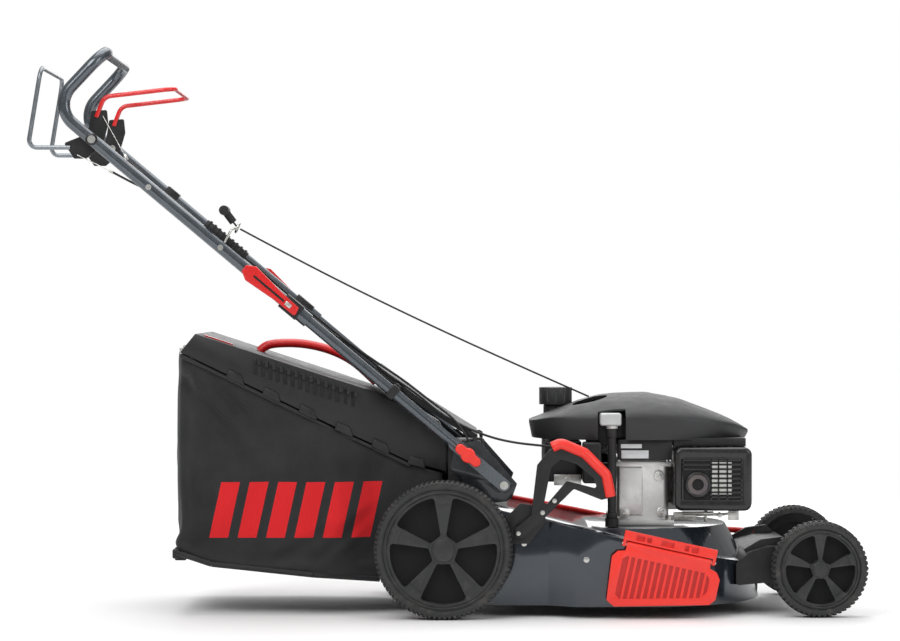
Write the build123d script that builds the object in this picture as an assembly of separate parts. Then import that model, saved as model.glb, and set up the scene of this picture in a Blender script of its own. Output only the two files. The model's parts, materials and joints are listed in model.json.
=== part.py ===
from build123d import *
import math
import os

# A self-propelled petrol lawn mower with a rear grass bag.
# Millimetres, +X forward, +Z up, the mower's right side on -Y.

# ---- driving dimensions ----
rear_x = -23.5
rear_r = 140.0
front_x = 740.5
front_r = 97.5
half_width = 285.0
rear_tyre_w = 48.0
front_tyre_w = 45.0
front_outer_y = 240.0
axle_r = 8.0
axle_fit = 0.08

blade_x = 375.0
deck_r = 262.0
deck_half = 258.0
deck_rear_half = 225.0
deck_rear_x = 62.0
deck_bottom = 24.0
deck_slope = (107.0 - 214.0) / (593.0 - 106.0)
sheet = 2.5
platform_z = 177.0

tube_y = 195.0
tube_r = 12.6
tube_wall = 1.4
inner_tube_r = 11.2
pivot_x = 100.0
pivot_z = 266.0
handle_angle = 40.0
knob_d = 96.0
collar_d = 521.0
inner_end_d = 700.0
guide_d = 754.0
tie_d = 945.0
bail_d = 1097.0
corner_d = 1202.5
grip_top = (-715.0, 1152.0)
plate_y = 176.0
plate_t = 3.0

rear_pivot = (30.0, 140.0)
front_pivot = (700.0, 118.0)
lever_pivot = (128.0, 172.0)
flap_hinge = (48.0, 352.0)
side_hinge = (-267.0, 162.0)

gap = 0.4
running = 0.05


along = Vector(-math.cos(math.radians(handle_angle)), 0, math.sin(math.radians(handle_angle)))
above = Vector(math.sin(math.radians(handle_angle)), 0, math.cos(math.radians(handle_angle)))

nodes = {}


# ---- shared shapes ----
def on_handle(distance, lift=0.0, y=0.0):
    """A point at a distance up the handle from its pivot bolt, lifted square to the tube."""
    place = Vector(pivot_x, y, pivot_z) + along * distance + above * lift
    return (place.X, place.Y, place.Z)


grip_corner = on_handle(corner_d)[::2]


def rod(a, b, radius):
    a = Vector(a)
    b = Vector(b)
    return extrude(Plane(a, z_dir=b - a) * Circle(radius), (b - a).length)


def pin(x, z, y_low, y_high, radius):
    return rod((x, y_low, z), (x, y_high, z), radius)


def post(x, y, z_low, z_high, radius):
    return rod((x, y, z_low), (x, y, z_high), radius)


def bent(points, bends, radius):
    line = FilletPolyline(*points, radius=bends)
    start = Vector(points[0])
    return sweep(Plane(start, z_dir=Vector(points[1]) - start) * Circle(radius), path=line)


def upward(sketch, height):
    return extrude(sketch, height, dir=(0, 0, 1))


def side_plate(sketch, y_low, y_high):
    """A sketch drawn as (x, z), standing between two values of y."""
    return Pos(0, y_high, 0) * Rot(90, 0, 0) * upward(sketch, y_high - y_low)


def shape(points, corner=0.0):
    face = Polygon(*points, align=None)
    if corner:
        face = fillet(face.vertices(), corner)
    return face


def block(x_low, x_high, y_low, y_high, z_low, z_high):
    size = (x_high - x_low, y_high - y_low, z_high - z_low)
    middle = ((x_low + x_high) / 2, (y_low + y_high) / 2, (z_low + z_high) / 2)
    return Pos(*middle) * Box(*size)


def both_sides(part):
    return [part, mirror(part, Plane.XZ)]


# ---- wheels ----
def window(inner, outer, half_angle, corner):
    """A wheel window: an arc outside, tapering towards the hub."""
    a = math.radians(half_angle)
    far = [(outer * math.cos(t), outer * math.sin(t)) for t in (-a, 0, a)]
    near = [(inner * math.cos(t), inner * math.sin(t)) for t in (a, -a)]
    edges = [ThreePointArc(*far), Line(far[2], near[0]), Line(near[0], near[1]), Line(near[1], far[0])]
    return fillet(make_face(edges).vertices(), corner)


def wheel(radius, rim_r, dish_r, hub_r, window_in, window_out, width):
    """Tyre, rim and cap about Z, outer face at z = 0 and the rest below it."""
    tyre = Pos(0, 0, -width / 2) * (Cylinder(radius, width) - Cylinder(rim_r, width))
    tyre = fillet(tyre.edges().filter_by(GeomType.CIRCLE).group_by(SortBy.RADIUS)[-1], 5)
    depth = width - 7
    rim = Pos(0, 0, -3.5 - depth / 2) * Cylinder(rim_r, depth)
    rim -= Pos(0, 0, -3.5 - 2.5) * (Cylinder(dish_r, 5.01) - Cylinder(hub_r + 4, 5.01))
    opening = Pos(0, 0, -24) * upward(window(window_in, window_out, 26, window_in * 0.22), 24)
    for turn in range(5):
        rim -= Rot(0, 0, 54 + 72 * turn) * opening
    hollow = Cylinder(dish_r, 10) - Cylinder(hub_r + 6, 10)
    rim -= Pos(0, 0, -3.5 - depth + 5) * hollow
    rim -= Cylinder(axle_r + axle_fit, 4 * width)
    cap = Pos(0, 0, -1.75) * Cylinder(hub_r, 3.5)
    cap = chamfer(cap.edges().group_by(Axis.Z)[-1], 1.5)
    return tyre, Compound([rim, cap])


def place_wheel(part, x, z, outer_y, side):
    """Side is -1 for the right wheels, whose outer face looks along -Y."""
    return Pos(x, side * outer_y, z) * Rot(-90 * side, 0, 0) * part


rear_set = wheel(rear_r, 121, 94, 24, 30, 108, rear_tyre_w)
front_set = wheel(front_r, 80, 62, 17, 20, 70.5, front_tyre_w)
for end, x, radius, outer_y, pieces in (
    ("rear", rear_x, rear_r, half_width, rear_set),
    ("front", front_x, front_r, front_outer_y, front_set),
):
    for hand, side in (("right", -1), ("left", 1)):
        tyre, rim = (place_wheel(piece, x, radius, outer_y, side) for piece in pieces)
        nodes[f"{end}_tyre_{hand}"] = tyre
        nodes[f"{end}_rim_{hand}"] = rim


# ---- deck ----
def deck_solid(inset, bottom):
    """The deck's outer form, drawn in by a wall's thickness."""
    side = deck_half - inset
    r = deck_r - inset
    x_bend = blade_x + math.sqrt(r * r - side * side)
    rear = deck_rear_x + inset
    narrow = deck_rear_half - inset
    right = [(x_bend, -side), (245, -side), (190, -narrow), (rear, -narrow)]
    left = [(x, -y) for x, y in reversed(right)]
    plan = make_face([Polyline(*right, *left), ThreePointArc(left[-1], (blade_x + r, 0), right[0])])
    top = [(x, 214.0 - inset + deck_slope * (x - 106.0)) for x in (0.0, 700.0)]
    profile = shape([(0, bottom), *top, (700, bottom)])
    form = (Pos(0, 0, bottom) * upward(plan, 300)) & side_plate(profile, -300, 300)
    dome = Pos(blade_x, 0, 100 + (platform_z - inset - 100) / 2)
    return form + dome * Cone(236 - inset, 192 - inset, platform_z - inset - 100)


outer_deck = deck_solid(0, deck_bottom)
deck = outer_deck - deck_solid(sheet, deck_bottom - 20)
chute_half = 150.0
deck -= block(deck_rear_x - 10, deck_rear_x + 10, -chute_half, chute_half, deck_bottom - 5, 212)
deck -= block(340, 450, -300, -200, 40, 122)
deck -= post(blade_x, 0, 100, 200, 24)
deck -= side_plate(Pos(rear_pivot[0], rear_pivot[1]) * Circle(7.5), -300, 300)
nodes["deck_shell"] = deck

apron_side = [(575, 60), (575, 104), (602, 128), (640, 140), (696, 140), (716, 124), (716, 96), (690, 70)]
apron = side_plate(shape(apron_side, 6), -180, 180) - deck_solid(-gap, 0)
apron -= pin(*front_pivot, -200, 200, 7 + running)
apron -= block(640, 685, -150, 150, 50, 124)
fin_side = [(560, 112), (583, 112), (640, 140), (690, 140), (672, 158), (628, 152)]
for side in (-1, 1):
    fin = side_plate(shape(fin_side, 4), 4, 14) - deck_solid(-gap, 0)
    apron += Pos(0, 150 * side - 9, 0) * fin
apron_solids = apron.solids().sort_by(SortBy.VOLUME)
nodes["front_apron"] = apron_solids[-1]

bracket_outline = [
    (8, 120), (61.5, 120), (61.5, 227), (105, 232), (117, 240), (127, 268), (49, 356), (19, 352),
    (-3, 330), (-10, 302), (-4, 292), (10, 284), (16, 274), (8, 180),
]
bracket = side_plate(shape(bracket_outline, 3), plate_y, plate_y + plate_t)
bracket -= pin(pivot_x, pivot_z, 150, 200, 5)
bracket -= pin(*rear_pivot, 150, 250, 7 + running)
nodes["handle_brackets"] = Compound(both_sides(bracket))

housing = side_plate(shape([(-14, 179), (60, 179), (60, 235), (78, 240), (58, 346), (-14, 346)]), -161, 161)
throat = side_plate(shape([(-30, 189), (70, 189), (70, 222), (48, 236), (40, 334), (-30, 334)]), -150, 150)
housing = housing - throat - deck_solid(-gap, 0)
lug = side_plate(shape([(30, 300), (60, 300), (60, 358), (54, 362), (42, 362), (36, 350)]), 160.5, 168)
housing += both_sides(lug)
housing -= pin(*flap_hinge, -300, 300, 4.45)
nodes["rear_housing"] = housing.solids().sort_by(SortBy.VOLUME)[-1]

# ---- axles and drive ----
rear_arm = side_plate(SlotCenterToCenter(53.5, 30), 216, 222)
rear_arm = Pos((rear_pivot[0] + rear_x) / 2, 0, rear_r) * rear_arm
rear_arm -= pin(rear_x, rear_r, 200, 300, axle_r + running)
rear_arm -= pin(*rear_pivot, 200, 300, 7)
rear_rod = pin(*rear_pivot, -222, 222, 7)
nodes["rear_axle_frame"] = rear_rod + both_sides(rear_arm)
nodes["drive_shaft"] = pin(rear_x, rear_r, -281, 281, axle_r)
gear_x = 10.0
gear_y = 60.0
gearbox = block(-48, 20, 30, 90, 110, 154)
gearbox = fillet(gearbox.edges(), 5)
gearbox += post(gear_x, gear_y, 100, 112, 14)
gearbox -= pin(rear_x, rear_r, 0, 150, axle_r + running)
gearbox -= post(gear_x, gear_y, 60, 150, 5 + running)
hanger = block(22, 38, 50, 70, 120, 160) - pin(*rear_pivot, 0, 200, 7)
gearbox += block(18, 24, 50, 70, 125, 155)
nodes["gearbox"] = (gearbox + hanger).solids().sort_by(SortBy.VOLUME)[-1] - pin(*rear_pivot, 0, 200, 7)

belt_z = 90.0
gear_pulley_r = 42.0
crank_pulley_r = 24.0


def grooved(radius, bore):
    wheel_part = Cylinder(radius + 4, 12) - (Cylinder(radius + 5, 7) - Cylinder(radius - 3, 7))
    return wheel_part - Cylinder(bore, 40)


pulley = Pos(gear_x, gear_y, belt_z) * grooved(gear_pulley_r, 5)
nodes["gearbox_pulley"] = pulley + post(gear_x, gear_y, belt_z - 6, 150, 5)
drive_pulley = Pos(blade_x, 0, belt_z) * grooved(crank_pulley_r, 12.5)
span = math.hypot(blade_x - gear_x, gear_y)
turn = math.degrees(math.atan2(-gear_y, blade_x - gear_x))


def belt_loop(extra):
    """The outline round both pulleys."""
    a = Circle(gear_pulley_r + extra)
    b = Pos(span, 0) * Circle(crank_pulley_r + extra)
    lean = math.asin((gear_pulley_r - crank_pulley_r) / span)
    corners = []
    for x, radius, side in (
        (0, gear_pulley_r, 1), (span, crank_pulley_r, 1), (span, crank_pulley_r, -1), (0, gear_pulley_r, -1),
    ):
        reach = radius + extra
        corners.append((x + reach * math.sin(lean), side * reach * math.cos(lean)))
    return a + b + shape(corners)


belt = Pos(gear_x, gear_y, belt_z - 2.5) * Rot(0, 0, turn) * upward(belt_loop(6) - belt_loop(0.5), 5)
nodes["drive_belt"] = belt

arm_outline = [(688, 108), (700, 134), (714, 130), (754, 104), (750, 86), (730, 84)]
front_arm = side_plate(shape(arm_outline, 6), 184, 190)
front_arm += pin(front_x, front_r, 184, 235, axle_r)
nodes["front_axle_frame"] = pin(*front_pivot, -190, 190, 7) + both_sides(front_arm)

# ---- height adjustment ----
quadrant_outline = [(96, 150), (150, 150), (185, 196), (176, 226), (132, 232), (100, 200)]
quadrant = side_plate(shape(quadrant_outline, 4), -236, -230)
quadrant += block(104, 122, -231, -225.2, 155, 185)
quadrant -= pin(*lever_pivot, -260, -220, 4 + running)
nodes["height_quadrant"] = quadrant
frame_out = [(121, 163), (136, 163), (172, 194), (240, 262), (296, 240), (314, 244), (306, 290), (262, 332),
             (214, 352), (190, 340), (166, 310), (154, 208), (122, 182)]
frame_in = [(178, 222), (226, 278), (288, 262), (280, 284), (246, 312), (214, 322), (194, 306)]
lever = side_plate(shape(frame_out, 5) - shape(frame_in, 4), -250, -240)
lever += pin(*lever_pivot, -250, -226.5, 4)
grip_out = [(314, 246), (306, 290), (262, 334), (214, 354), (196, 346)]
grip_path = FilletPolyline(*[(x, -245, z) for x, z in grip_out], radius=20)
grip_start = Vector(grip_out[0][0], -245, grip_out[0][1])
grip_next = Vector(grip_out[1][0], -245, grip_out[1][1])
grip_plane = Plane(grip_start, z_dir=grip_next - grip_start)
grip = sweep(grip_plane * Ellipse(11, 11), path=grip_path)
nodes["height_lever"] = lever - grip
nodes["height_grip"] = grip

# ---- engine ----
crank_r = 12.5
case = block(335, 442, -120, 110, 190, 312)
case = fillet(case.edges().filter_by(Axis.Z), 12)
case += block(325, 452, -128, 118, 178, 190)
case += block(330, 447, -124, 114, 300, 309)
for level in range(6):
    z = 218 + 13 * level
    case += block(442, 500, -60, 60, z, z + 5)
case += block(442, 490, -42, 42, 205, 300)
case -= post(blade_x, 0, 150, 330, crank_r + running)
case -= block(341, 436, -114, 104, 196, 300)
nodes["crankcase"] = case
bolt_places = [(334, -122), (443, -122), (334, 112), (443, 112)]
bolts = [post(x, y, 190, 197, 6) for x, y in bolt_places]
bolts += [post(x, y, 309, 314, 5) for x, y in [(338, -116), (439, -116), (338, 106)]]
engine_bolts = [bolt - case for bolt in bolts]

crank = post(blade_x, 0, 66, 346, crank_r)
nodes["crankshaft"] = crank
fan = Pos(blade_x, 0, 328) * (Cylinder(92, 8) - Cylinder(crank_r, 20))
for blade_turn in range(16):
    vane = block(58, 88, -1.5, 1.5, 332, 346)
    fan += Pos(blade_x, 0, 0) * Rot(0, 0, 22.5 * blade_turn) * vane
nodes["flywheel"] = fan
adapter = Pos(blade_x, 0, 71) * (Cylinder(22, 30) - Cylinder(crank_r, 60)) + drive_pulley
adapter += Pos(blade_x, 0, 58) * (Cylinder(34, 5) - Cylinder(crank_r, 20))
nodes["blade_adapter"] = adapter
blade_r = 252.0
blade = shape([(-blade_r, -26), (blade_r, -26), (blade_r, 18), (130, 26), (-130, 26), (-blade_r, 18)], 3)
blade = Pos(blade_x, 0, 51) * upward(blade, 4)
for way in (0, 180):
    lift = side_plate(shape([(150, 54), (245, 55), (245, 58), (150, 57)]), 12, 24)
    blade += Pos(blade_x, 0, 0) * Rot(0, 0, way) * lift
blade -= post(blade_x, 0, 30, 60, 6)
nodes["blade"] = blade
nodes["blade_bolt"] = post(blade_x, 0, 43, 51, 12) + post(blade_x, 0, 51, 66, 6)

cover_side = [(156, 372), (162, 400), (200, 416), (262, 440), (310, 449), (400, 450), (470, 440), (560, 412),
              (600, 396), (616, 372), (612, 360), (560, 353), (180, 358)]
cover_edge = [
    (156, 40), (175, 110), (230, 152), (330, 164), (470, 160), (560, 130), (604, 70), (616, 0),
]
cover_plan = [(x, -y) for x, y in cover_edge] + [(x, y) for x, y in reversed(cover_edge[:-1])]
cover_right = [(-164, 340), (-164, 398), (-120, 430), (-60, 450)]
cover_front = cover_right + [(-y, z) for y, z in reversed(cover_right)]


def cover_form(inset, low):
    scale_x = (460 - 2 * inset) / 460
    scale_y = (328 - 2 * inset) / 328
    plan = shape([((x - 386) * scale_x + 386, y * scale_y) for x, y in cover_plan], 12)
    side = shape([((x - 386) * scale_x + 386, z - inset if z > 390 else z - low) for x, z in cover_side])
    front = shape([(y * scale_y, z - inset if z > 390 else z - low) for y, z in cover_front])
    tall = Pos(0, 0, 300) * upward(plan, 200)
    long = Pos(100, 0, 0) * Rot(0, 0, 90) * Rot(90, 0, 0) * upward(front, 600)
    return tall & side_plate(side, -200, 200) & long


cover = cover_form(0, 0) - cover_form(3, 30)
cover -= post(215, 85, 380, 480, 37)
cover -= block(262, 300, -40, -6, 420, 460)
cover -= block(290, 345, -190, -146, 340, 420)
nodes["engine_cover"] = cover.solids().sort_by(SortBy.VOLUME)[-1]

filler_at = (215, 85)
tank = block(186, 262, -120, 130, 268, 350)
tank = fillet(tank.edges().filter_by(Axis.Z), 16)
tank += post(*filler_at, 350, 420, 26)
tank -= post(*filler_at, 395, 430, 22)
nodes["fuel_tank"] = tank
cap = post(*filler_at, 421, 457, 35) + post(*filler_at, 405, 421, 21.9)
for rib in range(12):
    cap -= Pos(*filler_at, 0) * Rot(0, 0, 30 * rib) * post(36.5, 0, 430, 460, 3)
nodes["fuel_cap"] = cap

filler = post(322, -160, 181, 380, 9)
filler += post(322, -160, 178.5, 196, 14)
nodes["oil_fill_tube"] = filler - post(322, -160, 190, 400, 6.5)
stick = post(322, -160, 200, 380, 2) + post(322, -160, 380.2, 390, 12)
stick += fillet(block(297, 341, -176, -146, 386, 412).edges(), 5)
nodes["dipstick"] = stick

guard = fillet(block(449, 608, -180, -74, 212, 342).edges().filter_by(Axis.Y), 16)
guard = fillet(guard.faces().sort_by(Axis.Y)[0].edges(), 8)
guard -= block(455, 602, -172, -60, 218, 336)
guard -= fillet(block(462, 590, -190, -176.5, 232, 322).edges().filter_by(Axis.Y), 8)
for row in range(6):
    z = 248 + 11 * row
    guard -= block(528, 580, -190, -160, z, z + 5)
for slot in range(7):
    guard -= block(462 + 18 * slot, 472 + 18 * slot, -160, -110, 330, 350)
guard -= pin(497, 266, -200, -150, 24)
nodes["muffler_guard"] = guard
muffler = fillet(block(462, 588, -160, -84, 232, 322).edges(), 10)
outlet_r = 12.0
muffler += pin(497, 266, -180, -158, 23.5)
muffler -= pin(497, 266, -181, -150, outlet_r)
muffler -= block(466, 584, -150, -88, 236, 318)
nodes["muffler"] = muffler

air_filter = fillet(block(268, 328, 60, 150, 258, 318).edges(), 8)
carburettor = block(292, 330, -30, 40, 262, 300) + block(270, 292, -8, 24, 270, 292)
nodes["spark_plug"] = rod((500.2, 0, 262), (530, 0, 262), 8) + rod((530, 0, 262), (556, 0, 262), 11)
panel = fillet(block(262, 300, -176, -128, 268, 352).edges(), 5)
nodes["air_intake"] = Compound([air_filter, carburettor, panel])

# ---- handle ----
inner_tube = rod(on_handle(110, y=tube_y), on_handle(inner_end_d, y=tube_y), inner_tube_r)
flat = side_plate(Pos(*on_handle(66)[::2]) * Rot(0, 0, 180 - handle_angle) * SlotOverall(156, 26), 186, 204)
lower_leg = inner_tube + flat
lower_leg -= rod(on_handle(150, y=tube_y), on_handle(inner_end_d, y=tube_y), inner_tube_r - tube_wall)
lower_leg -= pin(pivot_x, pivot_z, 150, 220, 5)
knob_x, _, knob_z = on_handle(knob_d)
lower_leg -= pin(knob_x, knob_z, 150, 220, 4 + running)
nodes["lower_handle"] = Compound(both_sides(lower_leg))
pivot_bolt = pin(pivot_x, pivot_z, 172, 208, 5 - running) + pin(pivot_x, pivot_z, 204.3, 207, 8.5)
pivot_bolt += pin(pivot_x, pivot_z, 168, plate_y - 0.2, 8)
chassis_bolts = engine_bolts + both_sides(pivot_bolt)

wing = SlotOverall(61, 20) + Circle(15)
knob = Pos(knob_x, 0, knob_z) * side_plate(Rot(0, 0, 180 - handle_angle) * wing, 207, 225)
knob = fillet(knob.faces().sort_by(Axis.Y)[-1].edges(), 3)
knob += pin(knob_x, knob_z, 204.4, 207.5, 12)
knob += pin(knob_x, knob_z, plate_y + plate_t + gap, 206, 3.9)
for hand, part in zip(("left", "right"), both_sides(knob)):
    nodes[f"wing_knob_{hand}"] = part

path = [
    on_handle(collar_d + 20, y=-tube_y), (grip_corner[0], -tube_y, grip_corner[1]),
    (grip_top[0], -tube_y, grip_top[1]), (grip_top[0], tube_y, grip_top[1]),
    (grip_corner[0], tube_y, grip_corner[1]), on_handle(collar_d + 20, y=tube_y),
]
corner_radii = [52, 44, 44, 52]
upper = bent(path, corner_radii, tube_r) - bent(path, corner_radii, tube_r - tube_wall)
for side in (-1, 1):
    y = side * tube_y
    upper += rod(on_handle(collar_d, y=y), on_handle(collar_d + 42, y=y), 14.6)
    upper -= rod(on_handle(collar_d - 20, y=y), on_handle(890, y=y), inner_tube_r + running)
bolt_x, _, bolt_z = on_handle(bail_d)
upper -= pin(bolt_x, bolt_z, -300, 300, 4)
nodes["upper_handle"] = upper
bail_bolt = pin(bolt_x, bolt_z, 140, 211, 3.97) + pin(bolt_x, bolt_z, 207.8, 210, 8)
bail_bolt += pin(bolt_x, bolt_z, 138, 142, 7)
screws = both_sides(bail_bolt)
for d in (guide_d, tie_d):
    x, _, z = on_handle(d)
    screw = pin(x, z, tube_y + tube_r - 0.4, tube_y + tube_r + 4, 6)
    screws += both_sides(screw - rod(on_handle(400, y=tube_y), on_handle(1000, y=tube_y), tube_r))
nodes["handle_bolts"] = Compound(screws)


# ---- quick release levers ----
def handle_block(d_low, d_high, y_low, y_high, lift_low, lift_high):
    """A box square to the tube."""
    size = (d_high - d_low, y_high - y_low, lift_high - lift_low)
    middle = on_handle((d_low + d_high) / 2, (lift_low + lift_high) / 2, (y_low + y_high) / 2)
    return Plane(middle, x_dir=along, z_dir=above) * Box(*size)


cam_d = 566.0
saddle = handle_block(544, 588, tube_y - 16, tube_y + 18, -16, 16)
saddle -= rod(on_handle(500, y=tube_y), on_handle(640, y=tube_y), 14.7)
saddle += pin(*on_handle(cam_d)[::2], tube_y + 16, tube_y + 22, 4)
nodes["clamp_saddles"] = Compound(both_sides(saddle))
lever_form = [
    (548, -7), (552, 9), (600, 11), (672, 18), (690, 8), (690, -8), (672, -18), (600, -11), (552, -10),
]
lever_plan = shape([on_handle(d, lift)[::2] for d, lift in lever_form], 3)
quick = side_plate(lever_plan, tube_y + 18.4, tube_y + 29)
quick = fillet(quick.faces().sort_by(Axis.Y)[-1].edges(), 2.5)
quick -= pin(*on_handle(cam_d)[::2], tube_y, tube_y + 22.5, 4 + running)
for hand, part in zip(("left", "right"), both_sides(quick)):
    nodes[f"quick_release_{hand}"] = part

# ---- bails ----
bail_r = 4.7
grey_y = 160.0
red_y = 147.0
plate_half = 1.5
grey_outline = [(-803, 966), (-755, 985), (-728, 975), (-732, 955), (-757, 934), (-782, 934)]
grey_plate = side_plate(shape(grey_outline, 4), grey_y - plate_half, grey_y + plate_half)
grey_plate -= pin(bolt_x, bolt_z, 100, 200, 4 + running)
red_outline = [(-748, 1033), (-716, 1035), (-713, 1005), (-726, 960), (-748, 955), (-757, 975)]
red_plate = side_plate(shape(red_outline, 4), red_y - plate_half, red_y + plate_half)
red_plate -= pin(bolt_x, bolt_z, 100, 200, 4 + running)
grey_side = [(-790, 957), (-877, 957), (-850, 1122)]
grey_path = [(x, grey_y, z) for x, z in grey_side] + [(x, -grey_y, z) for x, z in reversed(grey_side)]
grey_bail = bent(grey_path, [16, 26, 26, 16], bail_r)
red_side = [(-738, 1020), (-722, 1062), (-577, 1079)]
red_path = [(x, red_y, z) for x, z in red_side] + [(x, -red_y, z) for x, z in reversed(red_side)]
red_bail = bent(red_path, [22, 24, 24, 22], bail_r)
nodes["drive_bail"] = grey_bail
nodes["brake_bail"] = red_bail
nodes["drive_bail_plates"] = Compound([p - grey_bail for p in both_sides(grey_plate)])
nodes["brake_bail_plates"] = Compound([p - red_bail for p in both_sides(red_plate)])

# ---- rope, cables and their fittings ----
guide_x, _, guide_z = on_handle(guide_d)
foot = (guide_x + 7, -tube_y, guide_z + 10.5)
guide = bent([foot, (-456, -tube_y, 788), (-446, -176, 792)], [7], 2.5)
guide -= rod(on_handle(400, y=-tube_y), on_handle(900, y=-tube_y), tube_r + 0.1)
ring = Pos(-446, -166, 792) * Rot(0, -66, 0) * Torus(10, 2.4)
nodes["rope_guide"] = guide + ring
rope_out = Vector(-446, -166, 792)
rope_in = Vector(281, -22, 441)
rope_way = (rope_out - rope_in).normalized()
rope_r = 1.9
rope_start = rope_out - rope_way * 6
rope_points = [tuple(rope_in), (100, -58, 521), (-110, -99, 619), (-300, -137, 713.5), tuple(rope_start)]
rope_bends = []
for before, here, after in zip(rope_points, rope_points[1:], rope_points[2:]):
    into = Vector(here) - Vector(before)
    out = Vector(after) - Vector(here)
    short = min(into.length, out.length)
    rope_bends.append(0.45 * short / math.tan(math.radians(into.get_angle(out)) / 2))
nodes["starter_rope"] = bent(rope_points, rope_bends, rope_r)
pull_way = Vector(-0.6, 0, 0.8)
grip_low = rope_out + pull_way * 14
grip_high = grip_low + pull_way * 30
grip_side = Vector(0, 24, 0)
t_grip = rod(tuple(grip_low), tuple(grip_high), 8)
t_grip += rod(tuple(grip_high - grip_side), tuple(grip_high + grip_side), 10)
nodes["starter_grip"] = t_grip + rod(tuple(rope_out), tuple(grip_low), rope_r)

cable_r = 2.5
cable_y = -171.6


def cable(points):
    """A clipped cable: arcs as large as its runs allow."""
    bends = []
    for before, here, after in zip(points, points[1:], points[2:]):
        into = Vector(here) - Vector(before)
        out = Vector(after) - Vector(here)
        room = 0.45 * min(into.length, out.length)
        bends.append(room / math.tan(math.radians(into.get_angle(out)) / 2))
    line = FilletPolyline(*points, radius=bends)
    start = Vector(points[0])
    tube = sweep(Plane(start, z_dir=Vector(points[1]) - start) * Circle(cable_r), path=line)
    print("cable length", round(line.length, 1))
    return tube


drive_route = [
    (-700, cable_y, 905), (-655, cable_y, 880), (-600, cable_y, 858), (-540, cable_y, 806),
    (-467, cable_y, 757), (-405, cable_y, 712), (-340, cable_y, 652), (-285, cable_y, 610),
    (-225, cable_y, 561), (-165, cable_y, 519), (-105, cable_y, 480), (-50, cable_y, 436),
    (-2, cable_y, 402), (33, cable_y, 352), (38, cable_y, 300), (26, cable_y, 245), (12, cable_y, 200),
    (3, cable_y, 156), (1, -152, 118), (2, -110, 98), (4, -60, 96), (4, -8, 104),
]
brake_y = -165.2
brake_route = [
    (-672, brake_y, 931), (-625, brake_y, 884), (-562, brake_y, 838), (-507, brake_y, 784),
    (-443, brake_y, 736), (-388, brake_y, 683), (-322, brake_y, 637), (-266, brake_y, 583),
    (-198, brake_y, 541), (-142, brake_y, 493), (-82, brake_y, 455), (-33, brake_y, 412),
    (18, brake_y, 384), (72, -160, 362), (124, -152, 350), (180, -144, 344), (232, -140, 338),
    (261, -140, 330),
]
nodes["drive_cable"] = cable(drive_route)
nodes["brake_cable"] = cable(brake_route)

# ---- rear flap ----
flap_side = [(34, 360), (48, 366), (-60, 433), (-160, 507), (-168, 498), (-66, 424)]
flap = side_plate(shape(flap_side, 1.5), -160, 160)
flap += pin(*flap_hinge, -160, 160, 8)
flap -= pin(*flap_hinge, -300, 300, 4.5)
flap -= side_plate(shape([(-20, 330), (64, 330), (64, 347), (40, 347), (-20, 347)]), -170, 170)
nodes["rear_flap"] = flap.solids().sort_by(SortBy.VOLUME)[-1]
flap_pin = pin(*flap_hinge, -168, 168, 4.45)

# ---- side discharge, leaning with the deck's top ----
hinge_y, hinge_z = side_hinge
side_pin_z = hinge_z - 8
side_start = 338.0
side_lean = -math.degrees(math.atan(deck_slope))


def leaning(part):
    return Pos(side_start, 0, side_pin_z) * Rot(0, side_lean, 0) * Pos(-side_start, 0, -side_pin_z) * part


def knuckle(x_low, x_high, radius):
    return rod((x_low, hinge_y, side_pin_z), (x_high, hinge_y, side_pin_z), radius)


def panel_foot(x, height):
    """A level line under the leaning panel."""
    drop = (side_pin_z - height) / math.cos(math.radians(side_lean))
    return side_pin_z - drop - deck_slope * (x - side_start)


hinge_plate = block(338, 528, -272, -258.4, 162, 181) + block(350, 510, -262, -258.4, 141, 162)
for start, long in ((362, 18), (384, 10), (414, 26), (462, 9), (476, 14)):
    hinge_plate -= block(start, start + long, -280, -264, 166, 177)
hinge_plate -= knuckle(345, 521, 7)
for x in (338, 522):
    hinge_plate += block(x, x + 6, -272, -258.4, 149.5, 163) - knuckle(300, 560, 2.5)
nodes["side_flap_bracket"] = leaning(hinge_plate.solids().sort_by(SortBy.VOLUME)[-1])
flap_outline = [
    (347, 152), (519, 152), (520, 141), (535, 137), (544, 124), (544, panel_foot(544, 40)),
    (534, panel_foot(534, 30)), (347, panel_foot(347, 27)), (330, panel_foot(330, 40)), (322, 124), (331, 137),
    (346, 141),
]
recess = [
    (344, 124), (352, 131), (514, 131), (524, 120), (524, panel_foot(524, 56)), (514, panel_foot(514, 44)),
    (354, panel_foot(354, 42)), (344, panel_foot(344, 52)),
]
side_flap = side_plate(shape(flap_outline, 3), -272.5, -263)
hollow = side_plate(shape(recess, 2), -280, -269.5)
ribs = block(356, 361, -272.5, -269, 20, 140)
for rib in range(1, 13):
    ribs += block(356 + 13 * rib, 361 + 13 * rib, -272.5, -269, 20, 140)
side_flap = side_flap - hollow + (hollow & ribs)
side_flap = side_flap + knuckle(346, 520, 6) - knuckle(340, 530, 2.6)
nodes["side_flap"] = leaning(side_flap)
nodes["chassis_bolts"] = Compound([*chassis_bolts, flap_pin, leaning(knuckle(336, 530, 2.5))])

# ---- grass bag ----
bag_front = -17.5
bag_side = [
    (bag_front, 184), (bag_front, 352), (-36, 384), (-92, 418), (-176, 460), (-530, 575), (-560, 538), (-575, 126),
    (-497, 101), (-290, 77), (-148, 63), (-100, 172),
]
bag_edge = [(bag_front, 164), (-160, 166), (-240, 196), (-600, 200)]
bag_plan = [(x, -y) for x, y in bag_edge] + list(reversed(bag_edge))


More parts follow.
